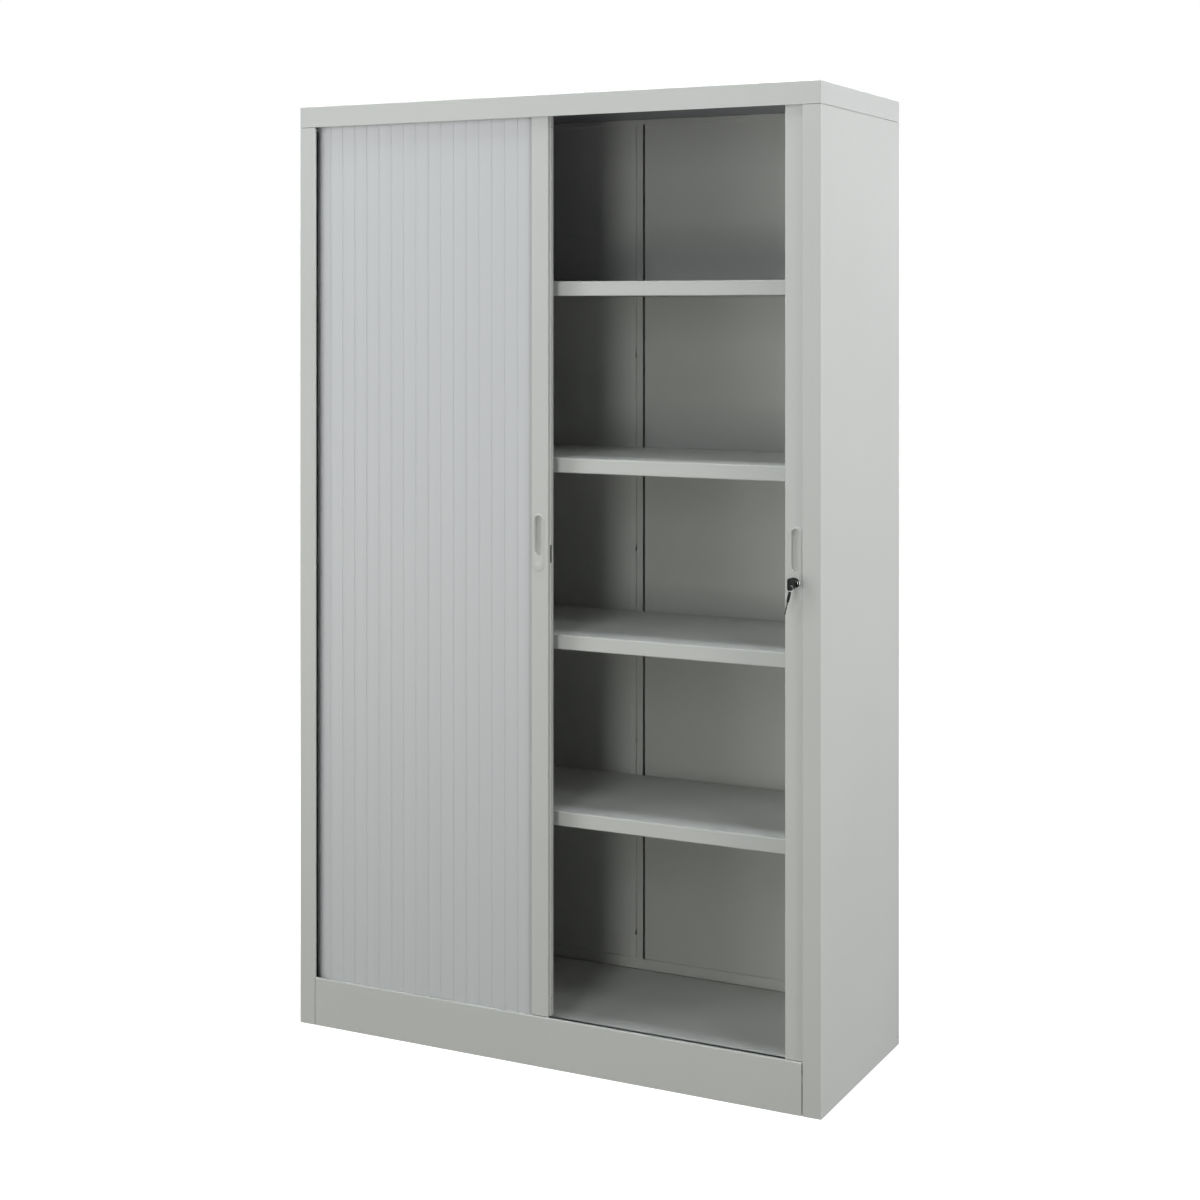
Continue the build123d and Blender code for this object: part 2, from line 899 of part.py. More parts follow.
def main():
    os.makedirs("parts", exist_ok=True)

    write("top_cap", make_top_cap())
    write("ceiling_panel", make_ceiling_panel())
    side = make_side_panel()
    write("right_side_panel", side)
    write("left_side_panel", mirrored(side))
    liner = make_liner()
    write("right_liner", liner)
    write("left_liner", mirrored(liner))
    write("plinth_front", make_plinth_front())
    write("base_frame", make_base_frame())
    write("foot_nuts", make_foot_nuts())
    names = ("foot_front_left", "foot_front_right", "foot_rear_left", "foot_rear_right")
    for name, (x, y) in zip(names, foot_places()):
        write(name, make_foot(x, y))
    write("base_deck", make_base_deck())
    write("floor_panel", make_floor_panel())
    write("rear_bottom_rail", make_rear_trim(floor_top, floor_top + ledge_height))
    write("rear_top_rail", make_rear_trim(ceiling_height - top_trim_height, ceiling_height))
    seam = joint_gap / 2
    write("left_rear_post", make_rear_post(-left_post_width, -seam))
    write("right_rear_post", make_rear_post(seam, right_post_width))
    panel_edge = liner_half_width - chamfer - joint_gap
    write("left_inner_back", make_inner_back(-panel_edge, -seam))
    write("right_inner_back", make_inner_back(back_gap, panel_edge))
    write("outer_back", make_outer_back())
    for number, top in enumerate(shelf_tops, 1):
        write(f"shelf_{number}", make_shelf(top))
    write("shelf_clips", make_shelf_clips())

    bottom_track = make_track(deck_top, deck_top + track_height, True)
    write("right_bottom_track", bottom_track)
    write("left_bottom_track", mirrored(bottom_track))
    top_track = make_track(track_top_bottom, ceiling_height, False)
    write("right_top_track", top_track)
    write("left_top_track", mirrored(top_track))
    write("centre_stops", make_centre_stops())
    write("left_slats", make_left_slats())
    write("right_slats", make_right_slats())

    across = Pos(mirror_sum, 0, 0)
    rail = make_handle_rail()
    glides = make_glides()
    pull = make_finger_pull()
    write("left_handle_rail", rail)
    write("left_glides", glides)
    write("left_finger_pull", pull)
    write("right_handle_rail", across * mirrored(rail))
    write("right_glides", across * mirrored(glides))
    write("right_finger_pull", across * mirrored(pull))
    write("lock_blank", make_lock_blank())
    write("lock_housing", make_lock_housing())
    write("lock_plug", make_lock_plug())
    write("lock_hook", make_lock_hook())
    write("hook_screw", make_hook_screw())
    write("key", make_key())
    write("key_ring", make_key_ring())
    write("spare_key", make_spare_key())


main()
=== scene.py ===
import json
import math

import bmesh
import bpy
from bpy.props import FloatProperty, FloatVectorProperty, IntProperty, PointerProperty
from mathutils import Matrix, Vector


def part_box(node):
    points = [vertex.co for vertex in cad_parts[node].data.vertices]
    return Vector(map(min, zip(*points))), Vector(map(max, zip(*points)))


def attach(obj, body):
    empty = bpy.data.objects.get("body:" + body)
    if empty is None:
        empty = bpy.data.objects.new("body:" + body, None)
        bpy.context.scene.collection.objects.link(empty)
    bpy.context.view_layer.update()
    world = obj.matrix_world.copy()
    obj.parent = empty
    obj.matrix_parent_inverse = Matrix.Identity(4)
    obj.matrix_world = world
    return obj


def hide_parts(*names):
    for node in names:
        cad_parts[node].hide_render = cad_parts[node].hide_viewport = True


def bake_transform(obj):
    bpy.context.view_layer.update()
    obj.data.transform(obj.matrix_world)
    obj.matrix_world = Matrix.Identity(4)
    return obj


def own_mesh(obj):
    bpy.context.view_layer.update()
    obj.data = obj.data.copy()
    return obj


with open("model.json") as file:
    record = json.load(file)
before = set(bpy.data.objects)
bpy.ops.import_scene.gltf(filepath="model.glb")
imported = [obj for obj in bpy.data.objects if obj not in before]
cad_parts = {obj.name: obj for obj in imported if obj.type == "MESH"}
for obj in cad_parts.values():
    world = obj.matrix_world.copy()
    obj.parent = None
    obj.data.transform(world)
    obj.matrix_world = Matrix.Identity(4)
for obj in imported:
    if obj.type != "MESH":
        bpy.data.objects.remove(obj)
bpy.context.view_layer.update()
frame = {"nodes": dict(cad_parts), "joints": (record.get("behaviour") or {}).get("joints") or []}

bl_info = {
    "name": "Tambour Door Cabinet",
    "version": (1, 0, 0),
    "blender": (4, 5, 0),
    "location": "View3D > Sidebar > Cabinet",
    "description": "Dresses a steel cabinet with two tambour doors round its packed frame",
    "category": "Object",
}

# Places read from the frame
CAP_LOW, CAP_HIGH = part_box("top_cap")
SIDE_LOW, SIDE_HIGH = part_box("right_side_panel")
PLINTH_LOW, PLINTH_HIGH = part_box("plinth_front")
LINER_LOW, LINER_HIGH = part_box("right_liner")
FLOOR_LOW, FLOOR_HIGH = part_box("floor_panel")
CURTAIN_LOW, CURTAIN_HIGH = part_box("left_slats")
LEFT_RAIL_LOW, LEFT_RAIL_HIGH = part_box("left_handle_rail")
RIGHT_RAIL_LOW, RIGHT_RAIL_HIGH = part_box("right_handle_rail")
PULL_LOW, PULL_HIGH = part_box("left_finger_pull")
LOCK_LOW, LOCK_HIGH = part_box("lock_housing")
PLUG_LOW, PLUG_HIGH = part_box("lock_plug")
BLANK_LOW, BLANK_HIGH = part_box("lock_blank")
KEY_LOW, KEY_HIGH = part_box("key")

LEFT_SLIDE, RIGHT_SLIDE = (
    next(j["range_m"][1] for j in frame["joints"] if j["name"] == name)
    for name in ("left_door_slide", "right_door_slide")
)

# Curtains and their path
SLAT_GAP = 0.0010
SLAT_DEPTH = 0.008
SLAT_TAPER = 0.0029
SLAT_REAR_ROUND = 0.0008
SLAT_LEAN = 0.006
WEB_DEPTH = 0.0009
WEB_REACH = 0.0022
WEB_THICKNESS = 0.0010
TONGUE_LENGTH = 0.010
TONGUE_HALF_WIDTH = 0.005
TONGUE_FRONT = 0.0025
TONGUE_REAR = 0.0055
RAIL_SLOT = 0.0035
RAIL_LIP = 0.001
RAIL_TO_SLAT = 0.002
POCKET_X = 0.590
TURN_RADIUS = 0.064
ARC_X = POCKET_X - TURN_RADIUS
SLAT_FRONT = CURTAIN_LOW.y
REAR_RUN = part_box("right_slats")[1].y
PARKED_FIRST = RIGHT_RAIL_HIGH.x - RAIL_LIP + RAIL_TO_SLAT

# Liners, shelves and back
SHELVES = range(1, 5)
LINER_CHAMFER = 0.024
LINER_SETBACK = 0.039
LINER_FLAT = LINER_LOW.x + LINER_SETBACK
POST_FLANGE = 0.003
KEYHOLE_RADIUS = 0.0028
KEYHOLE_SLOT = 0.0014
KEYHOLE_TOP = 0.0095
KEYHOLE_LOWEST = 0.157
KEYHOLE_PITCH = 0.427
KEYHOLES = [KEYHOLE_LOWEST + number * KEYHOLE_PITCH for number in range(5)]

# Pulls, lock and keys
PULL_X = (PULL_LOW.x + PULL_HIGH.x) / 2
LOCK_X = (LOCK_LOW.x + LOCK_HIGH.x) / 2
LOCK_Z = (LOCK_LOW.z + LOCK_HIGH.z) / 2
LOCK_RADIUS = 0.0084
LOCK_HOLE = 0.0085
PLUG_RADIUS = 0.0055
RECESS_WIDTH = 0.0175
RECESS_LENGTH = 0.081
RECESS_ABOVE_LOCK = 0.0225
RECESS_Z = LOCK_Z + RECESS_ABOVE_LOCK + RECESS_LENGTH / 2
KEY_NECK = 0.004
KEY_HOLE_INSET = 0.005
KEY_HOLE_Y = KEY_LOW.y + KEY_HOLE_INSET
BLADE_HALF_WIDTH = 0.00375
BLADE_HALF_THICKNESS = 0.001
TOOTH_PITCH = 0.0036
TOOTH_CUTS = (0.0012, 0.0030, 0.0018, 0.0034)


class CabinetSizes(bpy.types.PropertyGroup):
    """Sizes of the dressed pieces, where the frame doesn't fix them."""

    sheet: FloatProperty(
        name="Sheet", description="Thickness of the folded steel", default=0.001, unit="LENGTH"
    )
    bend: FloatProperty(
        name="Bend", description="Outer radius of the steel's folds", default=0.0025, unit="LENGTH"
    )
    soft_edge: FloatProperty(
        name="Soft edge", description="Rounding of cut edges", default=0.0003, unit="LENGTH"
    )
    slat_count: IntProperty(name="Slats", description="Slats in each curtain", default=18, min=2)
    slat_pitch: FloatProperty(
        name="Slat pitch", description="From one slat to the next", default=0.0307, unit="LENGTH"
    )
    slat_round: FloatProperty(
        name="Slat rounding", description="Radius of a slat's long front edges",
        default=0.0012, unit="LENGTH"
    )


class CabinetFinish(bpy.types.PropertyGroup):
    """Colours of the finishes, in linear light; the ceiling's colour is painted shade."""

    steel: FloatVectorProperty(
        name="Powder coat", description="Light grey powder coat", subtype="COLOR",
        default=(0.643, 0.65, 0.632), min=0, max=1
    )
    # The ceiling's colour is painted shade: a coat darker than the powder coat, standing in for the
    # shade under the top
    ceiling: FloatVectorProperty(
        name="Painted shade ceiling", description="Painted shade inside the top", subtype="COLOR",
        default=(0.3, 0.3, 0.33), min=0, max=1
    )
    slats: FloatVectorProperty(
        name="Slats", description="Light grey slat plastic", subtype="COLOR",
        default=(0.66, 0.664, 0.684), min=0, max=1
    )
    pulls: FloatVectorProperty(
        name="Pulls", description="Moulded finger pulls", subtype="COLOR",
        default=(0.65, 0.655, 0.635), min=0, max=1
    )
    black: FloatVectorProperty(
        name="Black", description="Black moulded plastic", subtype="COLOR",
        default=(0.007, 0.007, 0.008), min=0, max=1
    )


# Materials
# Noise mostly keeps to this span
NOISE_LOW, NOISE_HIGH = 0.3, 0.7


def shader(name, colour, roughness, metallic=0.0):
    """A new node material, its shader and its node tree."""
    material = bpy.data.materials.new(name)
    material.use_nodes = True
    tree = material.node_tree
    surface = tree.nodes["Principled BSDF"]
    surface.inputs["Base Color"].default_value = (*colour, 1)
    surface.inputs["Roughness"].default_value = roughness
    surface.inputs["Metallic"].default_value = metallic
    return material, surface, tree


def grain(tree, scale, detail, stretch=(1, 1, 1)):
    """The value of noise on the piece's own place, drawn out along an axis by stretch."""
    place = tree.nodes.new("ShaderNodeTexCoord")
    mapping = tree.nodes.new("ShaderNodeMapping")
    mapping.inputs["Scale"].default_value = stretch
    noise = tree.nodes.new("ShaderNodeTexNoise")
    noise.inputs["Scale"].default_value = scale
    noise.inputs["Detail"].default_value = detail
    tree.links.new(place.outputs["Object"], mapping.inputs["Vector"])
    tree.links.new(mapping.outputs["Vector"], noise.inputs["Vector"])
    return noise.outputs["Fac"]


def spread(tree, value, low, high, socket, start=NOISE_LOW, end=NOISE_HIGH):
    """Sends a value that runs from start to end to a number socket, from low to high."""
    span = tree.nodes.new("ShaderNodeMapRange")
    span.inputs["From Min"].default_value = start
    span.inputs["From Max"].default_value = end
    span.inputs["To Min"].default_value = low
    span.inputs["To Max"].default_value = high
    tree.links.new(value, span.inputs["Value"])
    tree.links.new(span.outputs["Result"], socket)


def tint(tree, noise, colour, shade, socket):
    """Sends noise to a colour socket, between the colour and a darker shade of it."""
    ramp = tree.nodes.new("ShaderNodeValToRGB")
    ramp.color_ramp.elements[0].position = NOISE_LOW
    ramp.color_ramp.elements[1].position = NOISE_HIGH
    ramp.color_ramp.elements[0].color = (*[c * shade for c in colour], 1)
    ramp.color_ramp.elements[1].color = (*colour, 1)
    tree.links.new(noise, ramp.inputs["Fac"])
    tree.links.new(ramp.outputs["Color"], socket)


def relief(tree, noise, strength, distance, surface):
    """Raises the surface by noise."""
    bump = tree.nodes.new("ShaderNodeBump")
    bump.inputs["Strength"].default_value = strength
    bump.inputs["Distance"].default_value = distance
    tree.links.new(noise, bump.inputs["Height"])
    tree.links.new(bump.outputs["Normal"], surface.inputs["Normal"])


def powder_coat(name, colour):
    """Satin powder coat: an even colour with fine orange peel."""
    material, surface, tree = shader(name, colour, 0.5)
    tint(tree, grain(tree, 3.0, 3), colour, 0.97, surface.inputs["Base Color"])
    peel = grain(tree, 650.0, 2)
    spread(tree, peel, 0.42, 0.56, surface.inputs["Roughness"])
    relief(tree, peel, 0.12, 0.0002, surface)
    return material


def slat_plastic(name, colour):
    """Extruded plastic: faint draw lines along its length."""
    material, surface, tree = shader(name, colour, 0.42)
    tint(tree, grain(tree, 60.0, 2, (1, 1, 0.01)), colour, 0.975, surface.inputs["Base Color"])
    lines = grain(tree, 900.0, 2, (1, 1, 0.01))
    spread(tree, lines, 0.36, 0.5, surface.inputs["Roughness"])
    relief(tree, lines, 0.08, 0.0001, surface)
    return material


def moulded_plastic(name, colour, roughness, gloss=0.5):
    """Moulded plastic with a fine spark-eroded texture."""
    material, surface, tree = shader(name, colour, roughness)
    surface.inputs["Specular IOR Level"].default_value = gloss
    tint(tree, grain(tree, 25.0, 2), colour, 0.94, surface.inputs["Base Color"])
    texture = grain(tree, 1500.0, 2)
    spread(tree, texture, roughness - 0.06, roughness + 0.06, surface.inputs["Roughness"])
    relief(tree, texture, 0.1, 0.0001, surface)
    return material


def plated_steel(name, colour, roughness, scale):
    """Zinc or nickel plate with a soft mottle."""
    material, surface, tree = shader(name, colour, roughness, 1.0)
    mottle = grain(tree, scale, 3)
    tint(tree, mottle, colour, 0.85, surface.inputs["Base Color"])
    spread(tree, mottle, roughness - 0.07, roughness + 0.07, surface.inputs["Roughness"])
    return material


FINISHES = {}


def make_finishes(finish):
    """One material for each finish."""
    FINISHES["painted_steel"] = powder_coat("powder_coat", tuple(finish.steel))
    # Painted shade: the ceiling's material is a darker powder coat that stands in for the shade
    # under the top
    FINISHES["painted_shade_ceiling"] = powder_coat("painted_shade_ceiling", tuple(finish.ceiling))
    FINISHES["slat_plastic"] = slat_plastic("slat_plastic", tuple(finish.slats))
    FINISHES["pull_plastic"] = moulded_plastic("pull_plastic", tuple(finish.pulls), 0.45)
    FINISHES["black_plastic"] = moulded_plastic("black_plastic", tuple(finish.black), 0.5, 0.3)
    FINISHES["galvanised_steel"] = plated_steel("galvanised_steel", (0.55, 0.56, 0.57), 0.45, 60.0)
    FINISHES["zinc_steel"] = plated_steel("zinc_steel", (0.62, 0.62, 0.63), 0.3, 200.0)
    FINISHES["chrome"] = plated_steel("chrome", (0.5, 0.505, 0.51), 0.15, 300.0)
    FINISHES["key_metal"] = plated_steel("key_metal", (0.44, 0.43, 0.39), 0.28, 400.0)


# Shapes
def verts_in(geom):
    """The points among what a bmesh operator made."""
    return [v for v in geom if isinstance(v, bmesh.types.BMVert)]


def round_edges(bm, edges, reach, segments):
    """Rounds edges, from that reach to either side of them."""
    bmesh.ops.bevel(
        bm, geom=edges, offset=reach, offset_type="OFFSET", segments=segments,
        profile=0.5, affect="EDGES", material=-1,
    )


def corner_reach(before, corner, after, radius):
    """How far from a corner a round of that radius starts."""
    a = (Vector(corner) - Vector(before)).normalized()
    b = (Vector(after) - Vector(corner)).normalized()
    return radius * math.tan(a.angle(b) / 2)


def strip(bm, outline, radii, low, high, closed=False):
    """Draws a line of corners up from low to high and rounds its corners.

    Its faces look to the right of the line, so to the outside of a closed one
    drawn counterclockwise.
    """
    foot = [bm.verts.new((u, v, low)) for u, v in outline]
    pairs = list(zip(foot, foot[1:])) + ([(foot[-1], foot[0])] if closed else [])
    line = [bm.edges.new(pair) for pair in pairs]
    drawn = bmesh.ops.extrude_edge_only(bm, edges=line)["geom"]
    faces = [f for f in drawn if isinstance(f, bmesh.types.BMFace)]
    bmesh.ops.translate(bm, verts=verts_in(drawn), vec=(0, 0, high - low))
    bm.normal_update()
    first = Vector(outline[1]) - Vector(outline[0])
    right = Vector((first.y, -first.x, 0))
    face = next(f for f in faces if foot[0] in f.verts and foot[1] in f.verts)
    if face.normal.dot(right) < 0:
        bmesh.ops.reverse_faces(bm, faces=faces)
    round_corners(bm, foot, outline, radii)


def round_corners(bm, foot, outline, radii):
    """Rounds the upright edges of a drawn line."""
    for i, radius in enumerate(radii):
        if radius:
            edge = next(e for e in foot[i].link_edges if e.other_vert(foot[i]) not in foot)
            after = outline[(i + 1) % len(outline)]
            reach = corner_reach(outline[i - 1], outline[i], after, radius)
            round_edges(bm, [edge], reach, 6)


def prism(bm, outline, radii, low, high):
    """A closed solid drawn up from a counterclockwise outline, with its upright edges rounded."""
    strip(bm, outline, radii, low, high, closed=True)
    bmesh.ops.holes_fill(bm, edges=[e for e in bm.edges if e.is_boundary], sides=0)
    bmesh.ops.recalc_face_normals(bm, faces=bm.faces[:])


def box(bm, low, high):
    """A plain block between two corners, as part of a piece."""
    made = bmesh.ops.create_cube(bm, size=1)["verts"]
    low, high = Vector(low), Vector(high)
    bmesh.ops.scale(bm, verts=made, vec=high - low)
    bmesh.ops.translate(bm, verts=made, vec=(low + high) / 2)


ALONG_X = Matrix(((0, 0, 1, 0), (1, 0, 0, 0), (0, 1, 0, 0), (0, 0, 0, 1)))
TO_FRONT = Matrix(((1, 0, 0, 0), (0, 0, -1, 0), (0, 1, 0, 0), (0, 0, 0, 1)))


def moved(bm, place):
    """Turns and moves a whole mesh."""
    bmesh.ops.transform(bm, verts=bm.verts[:], matrix=place)


def mirrored(*parts):
    """Turns meshes over to the other side of the cabinet, with their faces still outwards."""
    for bm in parts:
        bmesh.ops.scale(bm, verts=bm.verts[:], vec=(-1, 1, 1))
        bmesh.ops.reverse_faces(bm, faces=bm.faces[:])


def object_from(name, bm):
    """An object in the scene that holds the mesh."""
    mesh = bpy.data.meshes.new(name)
    bm.to_mesh(mesh)
    bm.free()
    made = bpy.data.objects.new(name, mesh)
    bpy.context.scene.collection.objects.link(made)
    return made


def settle(name, bm, finish, body, nodes, wall=0.0, soft=0.0, cutters=()):
    """Makes the finished piece: its wall, its cuts, its softened edges, its finish and its body."""
    piece = object_from(name, bm)
    if wall:
        solid = piece.modifiers.new("wall", "SOLIDIFY")
        solid.thickness = wall
        solid.offset = -1
        solid.use_even_offset = True
    tools = [object_from(name + "_cut", cutter) for cutter in cutters]
    for tool in tools:
        cut = piece.modifiers.new("cut", "BOOLEAN")
        cut.operation = "DIFFERENCE"
        cut.solver = "MANIFOLD"
        cut.object = tool
    if tools:
        bake(piece)
    for tool in tools:
        bpy.data.objects.remove(tool)
    if soft:
        bevel = piece.modifiers.new("soft", "BEVEL")
        bevel.width = soft
        bevel.segments = 2
        bevel.limit_method = "ANGLE"
        bevel.angle_limit = math.radians(40)
    for face in piece.data.polygons:
        face.use_smooth = True
        face.material_index = 0
    if soft:
        weigh = piece.modifiers.new("shade", "WEIGHTED_NORMAL")
        weigh.keep_sharp = True
    else:
        piece.data.set_sharp_from_angle(angle=math.radians(35))
    piece.data.materials.clear()
    piece.data.materials.append(FINISHES[finish])
    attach(piece, body)
    if nodes:
        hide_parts(*nodes)
    return piece


def folded(outline, radii, low, high):
    """A folded sheet that runs across, drawn from its section's line of corners."""
    bm = bmesh.new()
    strip(bm, outline, radii, low, high)
    moved(bm, ALONG_X)
    return bm


def steel_piece(name, node, bm, cutters=()):
    """Settles a painted sheet of the carcass in place of its node."""
    size = sizes()
    settle(name, bm, "painted_steel", "carcass", [node], size.sheet, size.soft_edge, cutters)


def bake(piece):
    """Applies a piece's modifiers."""
    bpy.context.view_layer.update()
    depsgraph = bpy.context.evaluated_depsgraph_get()
    made = bpy.data.meshes.new_from_object(piece.evaluated_get(depsgraph), depsgraph=depsgraph)
    piece.modifiers.clear()
    old = piece.data
    piece.data = made
    bpy.data.meshes.remove(old)


def trim_corners(bm, x, y, gap):
    """Cuts the rear corners off along the liners' chamfers."""
    for side in (-1, 1):
        normal = Vector((side, 1, 0)).normalized()
        point = Vector((side * x, y, 0)) - normal * gap
        bmesh.ops.bisect_plane(
            bm, geom=bm.verts[:] + bm.edges[:] + bm.faces[:], plane_co=point,
            plane_no=normal, clear_outer=True,
        )


def keyhole(bm, x, z, low, high):
    """A round hole with a slot above it, as a solid to cut with."""
    radius = KEYHOLE_RADIUS
    points = []
    for i in range(25):
        turn = math.radians(120 + 300 * i / 24)
        points.append((x + radius * math.cos(turn), z + radius * math.sin(turn)))
    points += [(x + KEYHOLE_SLOT, z + KEYHOLE_TOP), (x - KEYHOLE_SLOT, z + KEYHOLE_TOP)]
    part = bmesh.new()
    prism(part, points, [], -high, -low)
    moved(part, TO_FRONT)
    add(bm, part)


def add(bm, part):
    """Puts one mesh in another."""
    mesh = bpy.data.meshes.new("part")
    part.to_mesh(mesh)
    part.free()
    bm.from_mesh(mesh)
    bpy.data.meshes.remove(mesh)


def stadium_shell(bm, x, loops, sides=40):
    """A closed shell drawn from one rounded slot to the next.

    Each loop is its width, its length, the height of its middle and its depth.
    """
    width, length, z, y = loops[0]
    turn = Matrix.Rotation(math.pi / 2, 4, "X") @ Matrix.Rotation(math.pi / sides, 4, "Z")
    first = bmesh.ops.create_circle(
        bm, cap_ends=False, radius=width / 2, segments=sides, matrix=turn
    )["verts"]
    for vert in first:
        vert.co.z += math.copysign((length - width) / 2, vert.co.z)
    bmesh.ops.translate(bm, verts=first, vec=(x, y, z))
    edges = bm.edges[:]
    for next_width, next_length, next_z, next_y in loops[1:]:
        drawn = bmesh.ops.extrude_edge_only(bm, edges=edges)["geom"]
        ring = verts_in(drawn)
        edges = [e for e in drawn if isinstance(e, bmesh.types.BMEdge)]
        edges = [e for e in edges if e.verts[0] in ring and e.verts[1] in ring]
        grow = next_width / width
        straight, next_straight = (length - width) / 2, (next_length - next_width) / 2
        for vert in ring:
            up = vert.co.z - z
            side = math.copysign(1, up)
            vert.co.x = x + (vert.co.x - x) * grow
            vert.co.z = next_z + (up - side * straight) * grow + side * next_straight
            vert.co.y = next_y
        width, length, z = next_width, next_length, next_z
    for loop in (first, ring):
        bmesh.ops.contextual_create(bm, geom=loop)
    bmesh.ops.recalc_face_normals(bm, faces=bm.faces[:])


def stadium_solid(bm, width, length, x, z, low, high):
    """A solid rounded slot to cut with."""
    part = bmesh.new()
    stadium_shell(part, x, [(width, length, z, low), (width, length, z, high)])
    add(bm, part)


def cylinder(bm, radius, length, sides, place):
    """A capped cylinder, turned and moved to its place."""
    bmesh.ops.create_cone(
        bm, cap_ends=True, radius1=radius, radius2=radius, depth=length, segments=sides,
        matrix=place,
    )


def drum(bm, radius, x, z, low, high):
    """A cylinder whose axis runs front to back."""
    place = Matrix.Translation((x, (low + high) / 2, z)) @ Matrix.Rotation(math.pi / 2, 4, "X")
    cylinder(bm, radius, high - low, 48, place)


def cross_drum(bm, radius, x, y, z, reach, sides=32):
    """A cylinder whose axis runs across."""
    place = Matrix.Translation((x, y, z)) @ Matrix.Rotation(math.pi / 2, 4, "Y")
    cylinder(bm, radius, 2 * reach, sides, place)


def spun(bm, section, centre, axis):
    """Spins a section right round an axis and closes its seam and poles."""
    bmesh.ops.spin(
        bm, geom=section, cent=centre, axis=axis, angle=2 * math.pi, steps=48, use_merge=True
    )
    bmesh.ops.remove_doubles(bm, verts=bm.verts[:], dist=1e-6)
    bmesh.ops.recalc_face_normals(bm, faces=bm.faces[:])


def turned(bm, x, z, profile, closed=False):
    """A form turned round a front-to-back axis from radii and depths."""
    verts = [bm.verts.new((x + radius, y, z)) for radius, y in profile]
    pairs = list(zip(verts, verts[1:])) + ([(verts[-1], verts[0])] if closed else [])
    edges = [bm.edges.new(pair) for pair in pairs]
    spun(bm, verts + edges, (x, 0, z), (0, 1, 0))


def plate(bm, outline, radii, half, rim):
    """A flat plate with rounded corners and rims, half its thickness to either side."""
    prism(bm, outline, radii, -half, half)
    rims = [e for e in bm.edges if all(abs(abs(v.co.z) - half) < 1e-6 for v in e.verts)]
    round_edges(bm, rims, rim, 4)


def key_blade(bm, start, end):
    """A flat blade with cut teeth, drawn along its own line."""
    width = BLADE_HALF_WIDTH
    tooth = end - 0.0015
    outline = [(start, -width), (end - 0.002, -width), (end, -0.0015), (end, 0.001)]
    outline.append((tooth, 0.0026))
    for depth in TOOTH_CUTS:
        following = tooth - TOOTH_PITCH
        if following < start + 0.001:
            break
        outline += [(tooth - TOOTH_PITCH / 3, depth), (following + TOOTH_PITCH / 3, depth)]
        outline.append((following, 0.0030))
        tooth = following
    outline += [(tooth - 0.0008, width), (start, width)]
    prism(bm, outline, [], -BLADE_HALF_THICKNESS, BLADE_HALF_THICKNESS)


def across(*parts):
    """Turns meshes of the left door into their twins on the right door."""
    mirrored(*parts)
    shift = (LEFT_RAIL_HIGH.x + RIGHT_RAIL_LOW.x, 0, 0)
    for bm in parts:
        bmesh.ops.translate(bm, verts=bm.verts[:], vec=shift)


def sizes():
    """The sizes that a user can change."""
    return bpy.context.scene.cabinet_sizes


def path_point(s):
    """A point on the slats' outer face, by its distance from the end of the straight front."""
    quarter = math.pi / 2 * TURN_RADIUS
    side_start = SLAT_FRONT + TURN_RADIUS
    side_length = REAR_RUN - TURN_RADIUS - side_start
    if s < 0:
        return Vector((ARC_X + s, SLAT_FRONT))
    if s < quarter:
        turn = s / TURN_RADIUS
        x, y = TURN_RADIUS * math.sin(turn), TURN_RADIUS * math.cos(turn)
        return Vector((ARC_X + x, side_start - y))
    s -= quarter
    if s < side_length:
        return Vector((POCKET_X, side_start + s))
    s -= side_length
    if s < quarter:
        turn = s / TURN_RADIUS
        x, y = TURN_RADIUS * math.cos(turn), TURN_RADIUS * math.sin(turn)
        return Vector((ARC_X + x, REAR_RUN - TURN_RADIUS + y))
    return Vector((ARC_X - (s - quarter), REAR_RUN))


def slat(bm):
    """One slat lying along X from the origin, with its front face on Y zero.

    It has a thin web over the gap before it and a tongue in each groove.
    """
    pitch, front_round = sizes().slat_pitch, sizes().slat_round
    gap = SLAT_GAP / 2
    low = CURTAIN_LOW.z + TONGUE_LENGTH
    high = CURTAIN_HIGH.z - TONGUE_LENGTH
    outline = [
        (gap, 0), (pitch - gap, 0), (pitch - SLAT_TAPER, SLAT_DEPTH), (SLAT_TAPER, SLAT_DEPTH),
    ]
    radii = [front_round, front_round, SLAT_REAR_ROUND, SLAT_REAR_ROUND]
    prism(bm, outline, radii, low, high)
    box(bm, (-WEB_REACH, WEB_DEPTH, low), (WEB_REACH, WEB_DEPTH + WEB_THICKNESS, high))
    left, right = pitch / 2 - TONGUE_HALF_WIDTH, pitch / 2 + TONGUE_HALF_WIDTH
    for z0, z1 in ((CURTAIN_LOW.z, low), (high, CURTAIN_HIGH.z)):
        box(bm, (left, TONGUE_FRONT, z0), (right, TONGUE_REAR, z1))
    return bm.verts[:] + bm.edges[:] + bm.faces[:]


def copies(bm, template, places):
    """Copies the template to each place and turn, and removes it."""
    for point, turn in places:
        made = bmesh.ops.duplicate(bm, geom=template)["geom"]
        place = Matrix.Translation((point.x, point.y, 0)) @ Matrix.Rotation(turn, 4, "Z")
        bmesh.ops.transform(bm, verts=verts_in(made), matrix=place)
    bmesh.ops.delete(bm, geom=verts_in(template), context="VERTS")


def lean(number):
    """How far a slat hangs out of true, a little more or less than its neighbours."""
    return SLAT_LEAN * math.sin(2.4 * number)


def halving(low, high, below):
    """Where between low and high a rising test stops being true, by halving the span."""
    for _ in range(50):
        middle = (low + high) / 2
        if below(middle):
            low = middle
        else:
            high = middle
    return low


def chain(bm, hinge, travelled):
    """A curtain's slats, each one pitch along the path from the last."""
    pitch = sizes().slat_pitch
    places = []
    for number in range(sizes().slat_count):
        travelled = halving(
            travelled, travelled + 2 * pitch, lambda s: (path_point(s) - hinge).length < pitch
        )
        following = path_point(travelled)
        along = following - hinge
        places.append((hinge, math.atan2(along.y, along.x) + lean(number)))
        hinge = following
    copies(bm, slat(bm), places)


